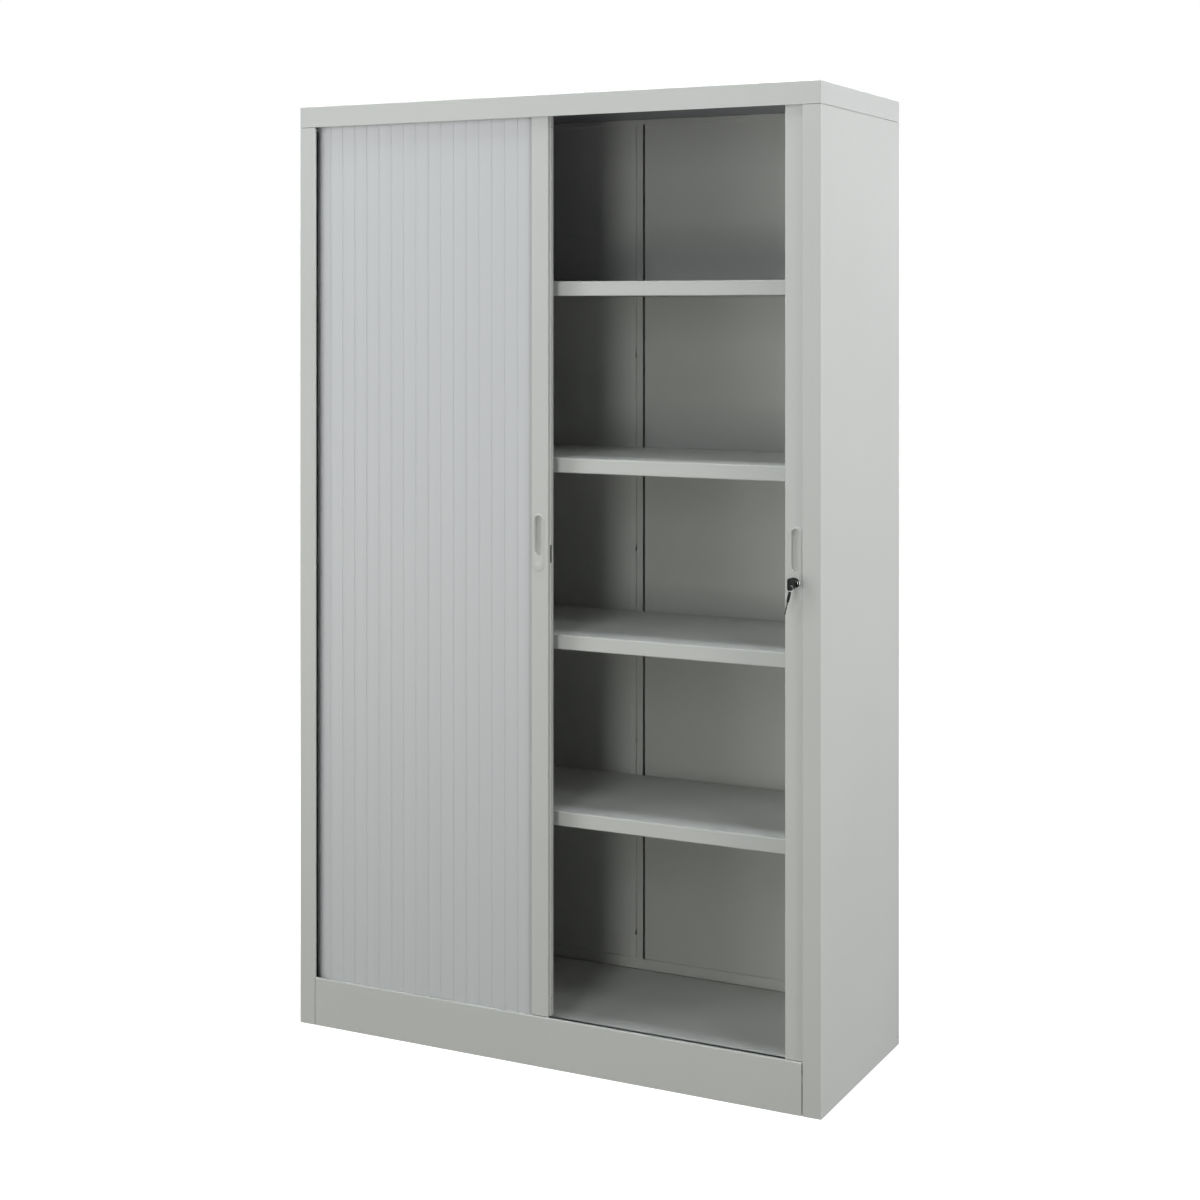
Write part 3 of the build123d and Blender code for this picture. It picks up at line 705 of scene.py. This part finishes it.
def keep_node(finish, *names):
    """CAD nodes whose shape is right take the finish."""
    for name in names:
        node = frame["nodes"][name]
        node.data.materials.clear()
        node.data.materials.append(FINISHES[finish])


class CABINET_OT_finishes(bpy.types.Operator):
    """Make the materials and give them to the nodes that stay"""

    bl_idname = "cabinet.finishes"
    bl_label = "Finishes"

    def execute(self, context):
        make_finishes(context.scene.cabinet_finish)
        keep_node("galvanised_steel", "base_frame", "base_deck")
        keep_node("painted_steel", "outer_back")
        # The ceiling panel takes the painted shade instead of the light powder coat
        keep_node("painted_shade_ceiling", "ceiling_panel")
        keep_node("zinc_steel", "foot_nuts", "shelf_clips", "lock_hook", "hook_screw")
        keep_node(
            "black_plastic", "left_glides", "right_glides", "centre_stops",
            "left_bottom_track", "right_bottom_track", "left_top_track", "right_top_track",
            "foot_front_left", "foot_front_right", "foot_rear_left", "foot_rear_right",
        )
        return {"FINISHED"}


class CABINET_OT_carcass(bpy.types.Operator):
    """Build the top cap, the side panels and the plinth"""

    bl_idname = "cabinet.carcass"
    bl_label = "Carcass"

    def execute(self, context):
        sheet, bend = sizes().sheet, sizes().bend
        bm = bmesh.new()
        box(bm, CAP_LOW, CAP_HIGH)
        bottom = [f for f in bm.faces if f.normal.z < -0.5]
        bmesh.ops.delete(bm, geom=bottom, context="FACES")
        upright = [e for e in bm.edges if abs(e.verts[0].co.z - e.verts[1].co.z) > sheet]
        round_edges(bm, upright, bend, 6)
        rim = [e for e in bm.edges if all(v.co.z > CAP_HIGH.z - sheet for v in e.verts)]
        round_edges(bm, rim, 0.8 * bend, 5)
        steel_piece("top_cap_shell", "top_cap", bm)

        stile_bend = 0.004
        stile_return = 0.0044
        rear_flange = 0.020
        bolt_hole, bolt_y, bolt_z = 0.0025, 0.215, 0.019
        outline = [
            (SIDE_LOW.x, SIDE_LOW.y + stile_return),
            (SIDE_LOW.x, SIDE_LOW.y),
            (SIDE_HIGH.x, SIDE_LOW.y),
            (SIDE_HIGH.x, SIDE_HIGH.y),
            (SIDE_HIGH.x - rear_flange, SIDE_HIGH.y),
        ]
        for side in ("right", "left"):
            bm = bmesh.new()
            strip(bm, outline, [0, stile_bend, bend, bend, 0], SIDE_LOW.z, SIDE_HIGH.z)
            cutter = bmesh.new()
            cross_drum(cutter, bolt_hole, SIDE_HIGH.x, bolt_y, bolt_z, 0.01, sides=24)
            if side == "left":
                mirrored(bm, cutter)
            steel_piece(f"{side}_side", f"{side}_side_panel", bm, [cutter])

        lip_depth, lip_drop, lip_bend = 0.008, 0.006, 0.00225
        outline = [
            (PLINTH_LOW.y + lip_depth, PLINTH_HIGH.z - lip_drop),
            (PLINTH_LOW.y + lip_depth, PLINTH_HIGH.z),
            (PLINTH_LOW.y, PLINTH_HIGH.z),
            (PLINTH_LOW.y, PLINTH_LOW.z),
        ]
        bm = folded(outline, [0, lip_bend, bend, 0], PLINTH_LOW.x, PLINTH_HIGH.x)
        steel_piece("plinth", "plinth_front", bm)
        return {"FINISHED"}


class CABINET_OT_inside(bpy.types.Operator):
    """Build the liners, the floor and the back"""

    bl_idname = "cabinet.inside"
    bl_label = "Inside"

    def execute(self, context):
        sheet, soft = sizes().sheet, sizes().soft_edge
        liner_fold, floor_fold, rear_fold = 1.5 * sheet, 1.75 * sheet, 1.2 * sheet
        rear = LINER_HIGH.y - sheet
        outline = [
            (LINER_LOW.x, rear),
            (LINER_FLAT - LINER_CHAMFER, rear),
            (LINER_FLAT, rear - LINER_CHAMFER),
            (LINER_FLAT, LINER_LOW.y),
            (LINER_HIGH.x, LINER_LOW.y),
        ]
        for side in ("right", "left"):
            bm = bmesh.new()
            radii = [0, liner_fold, liner_fold, sheet, 0]
            strip(bm, outline, radii, LINER_LOW.z, LINER_HIGH.z)
            cutter = bmesh.new()
            clip_slots(cutter, sheet)
            if side == "left":
                mirrored(bm, cutter)
            steel_piece(f"{side}_liner_wall", f"{side}_liner", bm, [cutter])

        outline = [
            (FLOOR_HIGH.y, FLOOR_LOW.z),
            (FLOOR_HIGH.y, FLOOR_HIGH.z),
            (FLOOR_LOW.y, FLOOR_HIGH.z),
        ]
        bm = folded(outline, [0, floor_fold, 0], FLOOR_LOW.x, FLOOR_HIGH.x)
        trim_corners(bm, LINER_FLAT, rear - LINER_CHAMFER, 0.5 * sheet)
        steel_piece("floor_tray", "floor_panel", bm)

        for name, node in (("foot_rail", "rear_bottom_rail"), ("head_rail", "rear_top_rail")):
            low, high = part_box(node)
            outline = [(high.y, high.z), (low.y, high.z), (low.y, low.z), (high.y, low.z)]
            bm = folded(outline, [0, rear_fold, rear_fold, 0], low.x, high.x)
            steel_piece(name, node, bm)

        for side in ("left", "right"):
            low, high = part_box(f"{side}_rear_post")
            edge = high.x + (POST_FLANGE if side == "right" else 0)
            outline = [(low.x, high.y), (low.x, low.y), (edge, low.y), (edge, high.y)]
            radii = [0, rear_fold, 2 * rear_fold, 0]
            if side == "right":
                radii.reverse()
            bm = bmesh.new()
            strip(bm, outline, radii, low.z, high.z)
            cutter = bmesh.new()
            for level in KEYHOLES:
                keyhole(cutter, 0, level, low.y - sheet, high.y + sheet)
            steel_piece(f"{side}_post", f"{side}_rear_post", bm, [cutter])
            low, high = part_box(f"{side}_inner_back")
            bm = bmesh.new()
            box(bm, low, high)
            cutters = []
            if side == "left":
                notch, below, above = 0.009, 0.004, 0.014
                cutters.append(bmesh.new())
                for level in KEYHOLES:
                    box(
                        cutters[0], (high.x - notch, low.y - sheet, level - below),
                        (high.x + sheet, high.y + sheet, level + above),
                    )
            settle(
                f"{side}_back_sheet", bm, "painted_steel", "carcass", [f"{side}_inner_back"],
                soft=soft, cutters=cutters,
            )
        return {"FINISHED"}


def clip_slots(cutter, sheet):
    """The right liner's slots for the shelf clips, in a short ladder round each shelf's foot."""
    half_length, below, above = 0.0065, 0.002, 0.0005
    columns = (-0.120, 0.150)
    pitch = 0.033
    for number in SHELVES:
        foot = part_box(f"shelf_{number}")[0].z
        for y in columns:
            for step in range(-2, 3):
                level = foot + step * pitch
                box(
                    cutter, (LINER_FLAT - sheet, y - half_length, level - below),
                    (LINER_FLAT + 2 * sheet, y + half_length, level + above),
                )


class CABINET_OT_shelves(bpy.types.Operator):
    """Build the four folded shelves"""

    bl_idname = "cabinet.shelves"
    bl_label = "Shelves"

    def execute(self, context):
        sheet, bend = sizes().sheet, sizes().bend
        lip = 0.015
        for number in SHELVES:
            low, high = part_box(f"shelf_{number}")
            outline = [
                (high.y - lip, low.z),
                (high.y, low.z),
                (high.y, high.z),
                (low.y, high.z),
                (low.y, low.z),
                (low.y + lip, low.z),
            ]
            bm = folded(outline, [0, bend, bend, bend, bend, 0], low.x, high.x)
            for side in (-1, 1):
                corners = [
                    (low.y + bend, low.z), (high.y - bend, low.z),
                    (high.y - bend, high.z - sheet), (low.y + bend, high.z - sheet),
                ]
                end = [bm.verts.new((side * high.x, y, z)) for y, z in corners[::side]]
                bm.faces.new(end)
            trim_corners(bm, LINER_FLAT, LINER_HIGH.y - sheet - LINER_CHAMFER, 1.25 * sheet)
            steel_piece(f"shelf_tray_{number}", f"shelf_{number}", bm)
        return {"FINISHED"}


class CABINET_OT_curtains(bpy.types.Operator):
    """Build the slats of both curtains"""

    bl_idname = "cabinet.curtains"
    bl_label = "Curtains"

    def execute(self, context):
        pitch = sizes().slat_pitch
        first = -CURTAIN_HIGH.x
        bm = bmesh.new()
        chain(bm, Vector((first - SLAT_GAP / 2, SLAT_FRONT)), first - SLAT_GAP / 2 - ARC_X)
        mirrored(bm)
        # The slat beside the rail ends short of it at the front
        end_strip = 0.0019
        edge = CURTAIN_HIGH.x - end_strip
        beside_rail = [
            v for v in bm.verts if v.co.x > edge and v.co.y < SLAT_FRONT + TONGUE_REAR
        ]
        bmesh.ops.translate(bm, verts=beside_rail, vec=(-RAIL_SLOT, 0, 0))
        piece = settle("left_curtain", bm, "slat_plastic", "carcass", ["left_slats"])
        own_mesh(piece)

        bm = bmesh.new()
        hinge = Vector((PARKED_FIRST, SLAT_FRONT))
        chain(bm, hinge, TURN_RADIUS * math.pi / 4)
        parked = settle("right_curtain_parked", bm, "slat_plastic", "carcass", ["right_slats"])
        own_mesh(parked)

        bm = bmesh.new()
        template = slat(bm)
        start = PARKED_FIRST - RIGHT_SLIDE
        count = int((POCKET_X - start) / pitch)
        places = [(Vector((start + n * pitch, SLAT_FRONT)), lean(n)) for n in range(count)]
        copies(bm, template, places)
        drawn = settle("right_curtain_drawn", bm, "slat_plastic", "carcass", [])
        gather(drawn, start, start + count * pitch)
        drawn.parent = None
        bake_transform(drawn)
        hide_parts("right_slats")
        return {"FINISHED"}


def gather(piece, start, end):
    """Moves the drawn curtain's points to where an eased slide of the right door would draw them
    out from.
    """
    def drawn_to(x):
        t = (POCKET_X - x) / (POCKET_X - PARKED_FIRST)
        return x - RIGHT_SLIDE * t * t * (3 - 2 * t)

    for vert in piece.data.vertices:
        share = (end - vert.co.x) / (end - start)
        target = POCKET_X - share * (POCKET_X - start)
        vert.co.x = halving(PARKED_FIRST, POCKET_X, lambda x: drawn_to(x) < target)


class CABINET_OT_rails(bpy.types.Operator):
    """Build the two handle rails"""

    bl_idname = "cabinet.rails"
    bl_label = "Handle rails"

    def execute(self, context):
        soft = sizes().soft_edge
        low, high = LEFT_RAIL_LOW, LEFT_RAIL_HIGH
        trailing = low.x + RAIL_LIP
        leading = high.x
        front = low.y
        rear = high.y
        heel = front + 0.0051
        step = front + 0.0088
        heel_run = 0.0059
        wall = 0.0013
        slant = wall * math.tan(math.pi / 8)
        groove = 0.0015
        outline = [
            (trailing, front),
            (leading - groove, front),
            (leading - groove, step),
            (leading, step),
            (leading, rear),
            (trailing + heel_run, rear),
            (trailing + heel_run, heel + heel_run),
            (trailing, heel),
            (trailing - RAIL_LIP, heel),
            (trailing - RAIL_LIP, heel - wall),
            (trailing, heel - wall),
        ]
        hollow = [
            (trailing + wall, front + wall),
            (leading - groove - wall, front + wall),
            (leading - groove - wall, step + wall),
            (leading - wall, step + wall),
            (leading - wall, rear - wall),
            (trailing + heel_run + wall, rear - wall),
            (trailing + heel_run + wall, heel + heel_run - slant),
            (trailing + wall, heel - slant),
        ]
        fold, tight, slight = 0.0014, 0.0009, 0.0003
        radii = [fold, fold, slight, tight, fold, fold, fold, fold]
        recess_play = 0.002
        strike_depth, strike_reach = 0.0033, 0.0056
        strike_low, strike_high = LOCK_Z + 0.0075, LOCK_Z + 0.0435
        screw_hole, screw_inset, screw_y = 0.002, 0.035, rear - 0.009
        for side in ("left", "right"):
            bm = bmesh.new()
            prism(bm, outline, radii, low.z, high.z)
            inner = bmesh.new()
            prism(inner, hollow, [], low.z - wall, high.z + wall)
            cutter = bmesh.new()
            stadium_solid(
                cutter, RECESS_WIDTH + recess_play, RECESS_LENGTH + recess_play,
                PULL_X, RECESS_Z, front - wall, front + 2 * wall,
            )
            drum(cutter, LOCK_HOLE, PULL_X, LOCK_Z, front - wall, front + 2 * wall)
            box(
                cutter, (leading - strike_depth, step, strike_low),
                (leading + wall, step + strike_reach, strike_high),
            )
            for level in (low.z + screw_inset, high.z - screw_inset):
                cross_drum(cutter, screw_hole, leading, screw_y, level, 2 * wall)
            parts = [bm, inner, cutter]
            if side == "right":
                across(*parts)
            settle(
                f"{side}_rail", bm, "painted_steel", f"{side}_door", [f"{side}_handle_rail"],
                soft=soft, cutters=parts[1:],
            )
        return {"FINISHED"}


class CABINET_OT_pulls(bpy.types.Operator):
    """Build the finger pulls and the blank disc"""

    bl_idname = "cabinet.pulls"
    bl_label = "Finger pulls"

    def execute(self, context):
        plate_z = (PULL_LOW.z + PULL_HIGH.z) / 2
        face, back = PULL_LOW.y, LEFT_RAIL_LOW.y
        wall = 0.001
        floor = PULL_HIGH.y - wall
        # Each section of the shell: how much its slot grows, and its depth
        shell = [(0.0018, PULL_HIGH.y), (0.0018, back)]
        edge = [(0, back), (0, face + 0.0006), (-0.0004, face + 0.0002), (-0.0012, face)]
        rim = [
            (0.0028, face), (0.0022, face - 0.0003), (0.0014, face - 0.0004),
            (0.0006, face - 0.0003), (0, face + 0.0003),
        ]
        pit = [(-0.0004, floor - 0.0016), (-0.0012, floor - 0.0005), (-0.0032, floor)]
        recess = (RECESS_WIDTH, RECESS_LENGTH, RECESS_Z)
        whole = (PULL_HIGH.x - PULL_LOW.x, PULL_HIGH.z - PULL_LOW.z, plate_z)
        loops = [
            (width + grow, length + grow, middle, y)
            for (width, length, middle), section in (
                (recess, shell), (whole, edge), (recess, rim + pit)
            )
            for grow, y in section
        ]
        for side in ("left", "right"):
            bm = bmesh.new()
            stadium_shell(bm, PULL_X, loops)
            cutter = bmesh.new()
            drum(cutter, LOCK_HOLE, PULL_X, LOCK_Z, face - wall, back + wall)
            if side == "right":
                across(bm, cutter)
            settle(
                f"{side}_pull", bm, "pull_plastic", f"{side}_door", [f"{side}_finger_pull"],
                cutters=[cutter],
            )

        bm = bmesh.new()
        front, back, radius = BLANK_LOW.y, BLANK_HIGH.y, LOCK_RADIUS
        profile = [
            (0, back), (radius, back), (radius, front + 0.0006),
            (radius - 0.0002, front + 0.0002), (radius - 0.0007, front), (0, front),
        ]
        turned(bm, PULL_X, LOCK_Z, profile)
        settle("blank_disc", bm, "pull_plastic", "left_door", ["lock_blank"])
        return {"FINISHED"}


class CABINET_OT_lock(bpy.types.Operator):
    """Build the lock's bezel and plug"""

    bl_idname = "cabinet.lock"
    bl_label = "Lock"

    def execute(self, context):
        front, back = LOCK_LOW.y, LOCK_HIGH.y
        pull_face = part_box("right_finger_pull")[0].y
        bezel = 0.0097
        bore = PLUG_RADIUS + 0.00005
        bm = bmesh.new()
        profile = [
            (LOCK_RADIUS, back), (LOCK_RADIUS, pull_face), (bezel, pull_face),
            (bezel, front + 0.0005), (bezel - 0.0003, front + 0.0001), (bezel - 0.0007, front),
            (0.0064, front), (0.0058, front + 0.0003), (bore, front + 0.0008), (bore, back),
        ]
        turned(bm, LOCK_X, LOCK_Z, profile, closed=True)
        settle("lock_bezel", bm, "chrome", "right_door", ["lock_housing"])

        bm = bmesh.new()
        front, back, radius = PLUG_LOW.y, PLUG_HIGH.y, PLUG_RADIUS
        profile = [
            (0, back), (radius, back), (radius, front + 0.0005),
            (radius - 0.0002, front + 0.0001), (radius - 0.0006, front), (0, front),
        ]
        turned(bm, LOCK_X, LOCK_Z, profile)
        play = 0.00015
        slot_x, slot_z = BLADE_HALF_THICKNESS + play, BLADE_HALF_WIDTH + play
        slot_depth = 0.0084
        cutter = bmesh.new()
        box(
            cutter, (LOCK_X - slot_x, front - 0.001, LOCK_Z - slot_z),
            (LOCK_X + slot_x, front + slot_depth, LOCK_Z + slot_z),
        )
        settle("lock_barrel", bm, "chrome", "lock_plug", ["lock_plug"], cutters=[cutter])
        return {"FINISHED"}


class CABINET_OT_keys(bpy.types.Operator):
    """Build the key, its ring and the spare key"""

    bl_idname = "cabinet.keys"
    bl_label = "Keys"

    def execute(self, context):
        head_rear = PLUG_LOW.y - KEY_NECK
        place = Matrix.Translation((LOCK_X, 0, LOCK_Z)) @ ALONG_X
        half_outline = [
            (KEY_LOW.y + 0.0002, -0.0100), (KEY_LOW.y + 0.0050, -0.0115),
            (head_rear - 0.0045, -0.0115), (head_rear, -0.0055),
        ]
        outline = half_outline + [(y, -z) for y, z in reversed(half_outline)]
        radii = [0.003, 0.006, 0.003, 0.002]
        half, rim = 0.003, 0.0012
        hole, hole_reach = 0.0025, 0.004
        bm = bmesh.new()
        plate(bm, outline, radii + radii[::-1], half, rim)
        moved(bm, place)
        cutter = bmesh.new()
        cross_drum(cutter, hole, LOCK_X, KEY_HOLE_Y, LOCK_Z, hole_reach)
        settle("key_head", bm, "black_plastic", "key", ["key"], cutters=[cutter])

        bm = bmesh.new()
        key_blade(bm, head_rear - KEY_NECK, KEY_HIGH.y)
        moved(bm, place)
        settle("key_blade", bm, "key_metal", "key", ["key"])

        ring_low, ring_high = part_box("key_ring")
        wire = (ring_high.y - ring_low.y) / 2
        radius = (ring_high.x - ring_low.x) / 2 - wire
        centre = (ring_low + ring_high) / 2
        bm = bmesh.new()
        section = bmesh.ops.create_circle(
            bm, cap_ends=False, radius=wire, segments=10,
            matrix=Matrix.Translation((radius, 0, 0)),
        )["verts"]
        upright = Matrix.Rotation(math.pi / 2, 4, "X")
        bmesh.ops.rotate(bm, verts=section, cent=(radius, 0, 0), matrix=upright)
        spun(bm, section + bm.edges[:], (0, 0, 0), (0, 0, 1))
        moved(bm, Matrix.Translation(centre) @ upright)
        settle("split_ring", bm, "zinc_steel", "spare_key", ["key_ring"])

        drop, tilt, twist = 0.001, 14, 27
        place = (
            Matrix.Translation((LOCK_X, KEY_HOLE_Y, ring_low.z - drop))
            @ Matrix.Rotation(math.radians(tilt), 4, "Y")
            @ Matrix.Rotation(math.radians(twist), 4, "Z")
        )
        half_outline = [
            (-0.0035, 0.0050), (-0.0075, 0.0010), (-0.0075, -0.0085), (-0.0045, -0.0120),
            (-0.0045, -0.0150),
        ]
        outline = half_outline + [(-y, z) for y, z in reversed(half_outline)]
        radii = [0.003, 0.004, 0.003, 0.001, 0.001]
        half, rim = 0.002, 0.0008
        hole, hole_reach = 0.0037, 0.003
        bm = bmesh.new()
        plate(bm, outline, radii + radii[::-1], half, rim)
        moved(bm, place @ ALONG_X)
        cutter = bmesh.new()
        cross_drum(cutter, hole, 0, 0, 0, hole_reach)
        moved(cutter, place)
        settle("spare_head", bm, "black_plastic", "spare_key", ["spare_key"], cutters=[cutter])

        blade_start, blade_end = 0.013, 0.041
        bm = bmesh.new()
        key_blade(bm, blade_start, blade_end)
        moved(bm, place @ Matrix.Rotation(-math.pi / 2, 4, "X") @ ALONG_X)
        settle("spare_blade", bm, "key_metal", "spare_key", ["spare_key"])
        return {"FINISHED"}


SOFT_BOX = (0.7, 0.9)
WARM, COOL, WHITE = (0.985, 1.0, 0.925), (0.95, 0.975, 1.0), (1.0, 1.0, 1.0)
# Each lamp: degrees to the right of the front, degrees up, size, watts and colour
LAMPS = {
    "front_low": (8, -5, SOFT_BOX, 18.0, WARM),
    "front_level": (8, 18, SOFT_BOX, 11.0, COOL),
    "front_high": (0, 45, SOFT_BOX, 16.6, COOL),
    "near_left_low": (-28, -5, SOFT_BOX, 8.5, WARM),
    "left_low": (-45, -5, (1.6, 1.0), 15.5, WARM),
    "left_level": (-45, 18, (1.6, 1.4), 23.2, COOL),
    "right_low": (72, -5, SOFT_BOX, 28.8, (0.985, 1.0, 0.95)),
    "right_high": (55, 45, SOFT_BOX, 14.0, COOL),
    "right_rear": (106, 18, SOFT_BOX, 76.5, (0.96, 0.98, 1.0)),
    "above": (0, 89, (1.5, 1.5), 117.0, (0.94, 0.99, 1.0)),
    "rear_left": (-115, 20, (1.5, 1.5), 55.0, WHITE),
    "rear": (180, 25, (2.0, 2.0), 75.0, WHITE),
}
LAMP_TARGET = Vector((0, 0, 1.0))
LAMP_DISTANCE = 4.0
TOP_DISTANCE = 3.0
FLOOR_GREY = (0.35, 0.35, 0.35)
FLOOR_REACH = 30
# The floor's glow beside the cabinet and beyond, lower beside it as painted shade round its foot,
# and the distances where it changes
FLOOR_GLOW = (0.92, 1.0)
GLOW_CHANGES = (0.9, 2.2)
# How steeply down the surround starts to light the cabinet, and how strongly
BOUNCE_BELOW = -0.35
BOUNCE = 0.42

# The camera, level and with its lens shifted down, as the parallel uprights show
CAMERA_PLACE = (2.0053, -3.9308, 1.5418)
CAMERA_TURN = 26.895
CAMERA_LENS = 62.07
CAMERA_SHIFT = -0.2419
SENSOR_WIDTH = 36


class CABINET_OT_stage(bpy.types.Operator):
    """Set the floor, the lamps, the white surround and the camera"""

    bl_idname = "cabinet.stage"
    bl_label = "Stage"

    def execute(self, context):
        pale_floor()
        for name, (turn, up, size, power, colour) in LAMPS.items():
            lamp(context, name, turn, up, size, power, colour)
        context.scene.world = surround()
        context.scene.view_settings.view_transform = "Standard"

        data = bpy.data.cameras.new("view")
        data.sensor_width = SENSOR_WIDTH
        data.lens = CAMERA_LENS
        data.shift_y = CAMERA_SHIFT
        camera = bpy.data.objects.new("view", data)
        camera.location = CAMERA_PLACE
        camera.rotation_euler = (math.pi / 2, 0, math.radians(CAMERA_TURN))
        context.scene.collection.objects.link(camera)
        context.scene.camera = camera
        return {"FINISHED"}


def pale_floor():
    """A glowing white floor, darker round the cabinet's foot from its real cast shadow and from
    painted shade where its glow is lower, that throws nothing back.
    """
    bm = bmesh.new()
    bmesh.ops.create_grid(bm, x_segments=1, y_segments=1, size=FLOOR_REACH)
    floor = object_from("floor", bm)
    material, surface, tree = shader("floor_card", FLOOR_GREY, 1.0)
    tint(tree, grain(tree, 0.5, 2), FLOOR_GREY, 0.99, surface.inputs["Base Color"])
    surface.inputs["Specular IOR Level"].default_value = 0.0
    surface.inputs["Emission Color"].default_value = (1, 1, 1, 1)
    place = tree.nodes.new("ShaderNodeTexCoord")
    distance = tree.nodes.new("ShaderNodeVectorMath")
    distance.operation = "LENGTH"
    tree.links.new(place.outputs["Object"], distance.inputs[0])
    glow = surface.inputs["Emission Strength"]
    # Painted shade: the glow is lower near the cabinet's foot and rises to full white farther out
    spread(tree, distance.outputs["Value"], *FLOOR_GLOW, glow, *GLOW_CHANGES)
    floor.data.materials.append(material)
    floor.visible_diffuse = False
    floor.visible_glossy = False
    floor.visible_shadow = False


def lamp(context, name, turn, up, size, power, colour):
    """A soft lamp that the camera doesn't see."""
    turn, up = math.radians(turn), math.radians(up)
    away = Vector(
        (math.sin(turn) * math.cos(up), -math.cos(turn) * math.cos(up), math.sin(up))
    )
    distance = TOP_DISTANCE if name == "above" else LAMP_DISTANCE
    data = bpy.data.lights.new(name, "AREA")
    data.shape = "RECTANGLE"
    data.size, data.size_y = size
    data.energy = power
    data.color = colour
    light = bpy.data.objects.new(name, data)
    light.location = LAMP_TARGET + distance * away
    light.rotation_euler = (-away).to_track_quat("-Z", "Y").to_euler()
    light.visible_camera = False
    context.scene.collection.objects.link(light)


def math_node(tree, operation, value, number=0.0):
    """A Math node of a value and a number."""
    node = tree.nodes.new("ShaderNodeMath")
    node.operation = operation
    node.inputs[1].default_value = number
    tree.links.new(value, node.inputs[0])
    return node


def surround():
    """White behind the cabinet, and the floor's glow from below."""
    world = bpy.data.worlds.new("studio")
    world.use_nodes = True
    tree = world.node_tree
    background = tree.nodes["Background"]
    place = tree.nodes.new("ShaderNodeTexCoord")
    parts = tree.nodes.new("ShaderNodeSeparateXYZ")
    rays = tree.nodes.new("ShaderNodeLightPath")
    tree.links.new(place.outputs["Generated"], parts.inputs["Vector"])
    below = math_node(tree, "LESS_THAN", parts.outputs["Z"], BOUNCE_BELOW)
    glow = math_node(tree, "MULTIPLY", below.outputs["Value"], BOUNCE)
    shown = math_node(tree, "MAXIMUM", glow.outputs["Value"])
    tree.links.new(rays.outputs["Is Camera Ray"], shown.inputs[1])
    tree.links.new(shown.outputs["Value"], background.inputs["Strength"])
    background.inputs["Color"].default_value = (1, 1, 1, 1)
    return world


class CABINET_PT_panel(bpy.types.Panel):
    """The cabinet's sizes, colours and pieces"""

    bl_idname = "CABINET_PT_panel"
    bl_label = "Tambour Cabinet"
    bl_space_type = "VIEW_3D"
    bl_region_type = "UI"
    bl_category = "Cabinet"

    def draw(self, context):
        layout = self.layout
        for group in (context.scene.cabinet_sizes, context.scene.cabinet_finish):
            for name in group.bl_rna.properties.keys():
                if name not in ("rna_type", "name"):
                    layout.prop(group, name)
        for operator in OPERATORS:
            layout.operator(operator.bl_idname)


OPERATORS = (
    CABINET_OT_finishes,
    CABINET_OT_stage,
    CABINET_OT_carcass,
    CABINET_OT_inside,
    CABINET_OT_shelves,
    CABINET_OT_curtains,
    CABINET_OT_rails,
    CABINET_OT_pulls,
    CABINET_OT_lock,
    CABINET_OT_keys,
)
CLASSES = (CabinetSizes, CabinetFinish, *OPERATORS, CABINET_PT_panel)


def register():
    for cls in CLASSES:
        bpy.utils.register_class(cls)
    bpy.types.Scene.cabinet_sizes = PointerProperty(type=CabinetSizes)
    bpy.types.Scene.cabinet_finish = PointerProperty(type=CabinetFinish)


def unregister():
    del bpy.types.Scene.cabinet_finish
    del bpy.types.Scene.cabinet_sizes
    for cls in reversed(CLASSES):
        bpy.utils.unregister_class(cls)


def main():
    register()
    for operator in OPERATORS:
        group, name = operator.bl_idname.split(".")
        getattr(getattr(bpy.ops, group), name)()


if __name__ == "__main__":
    main()
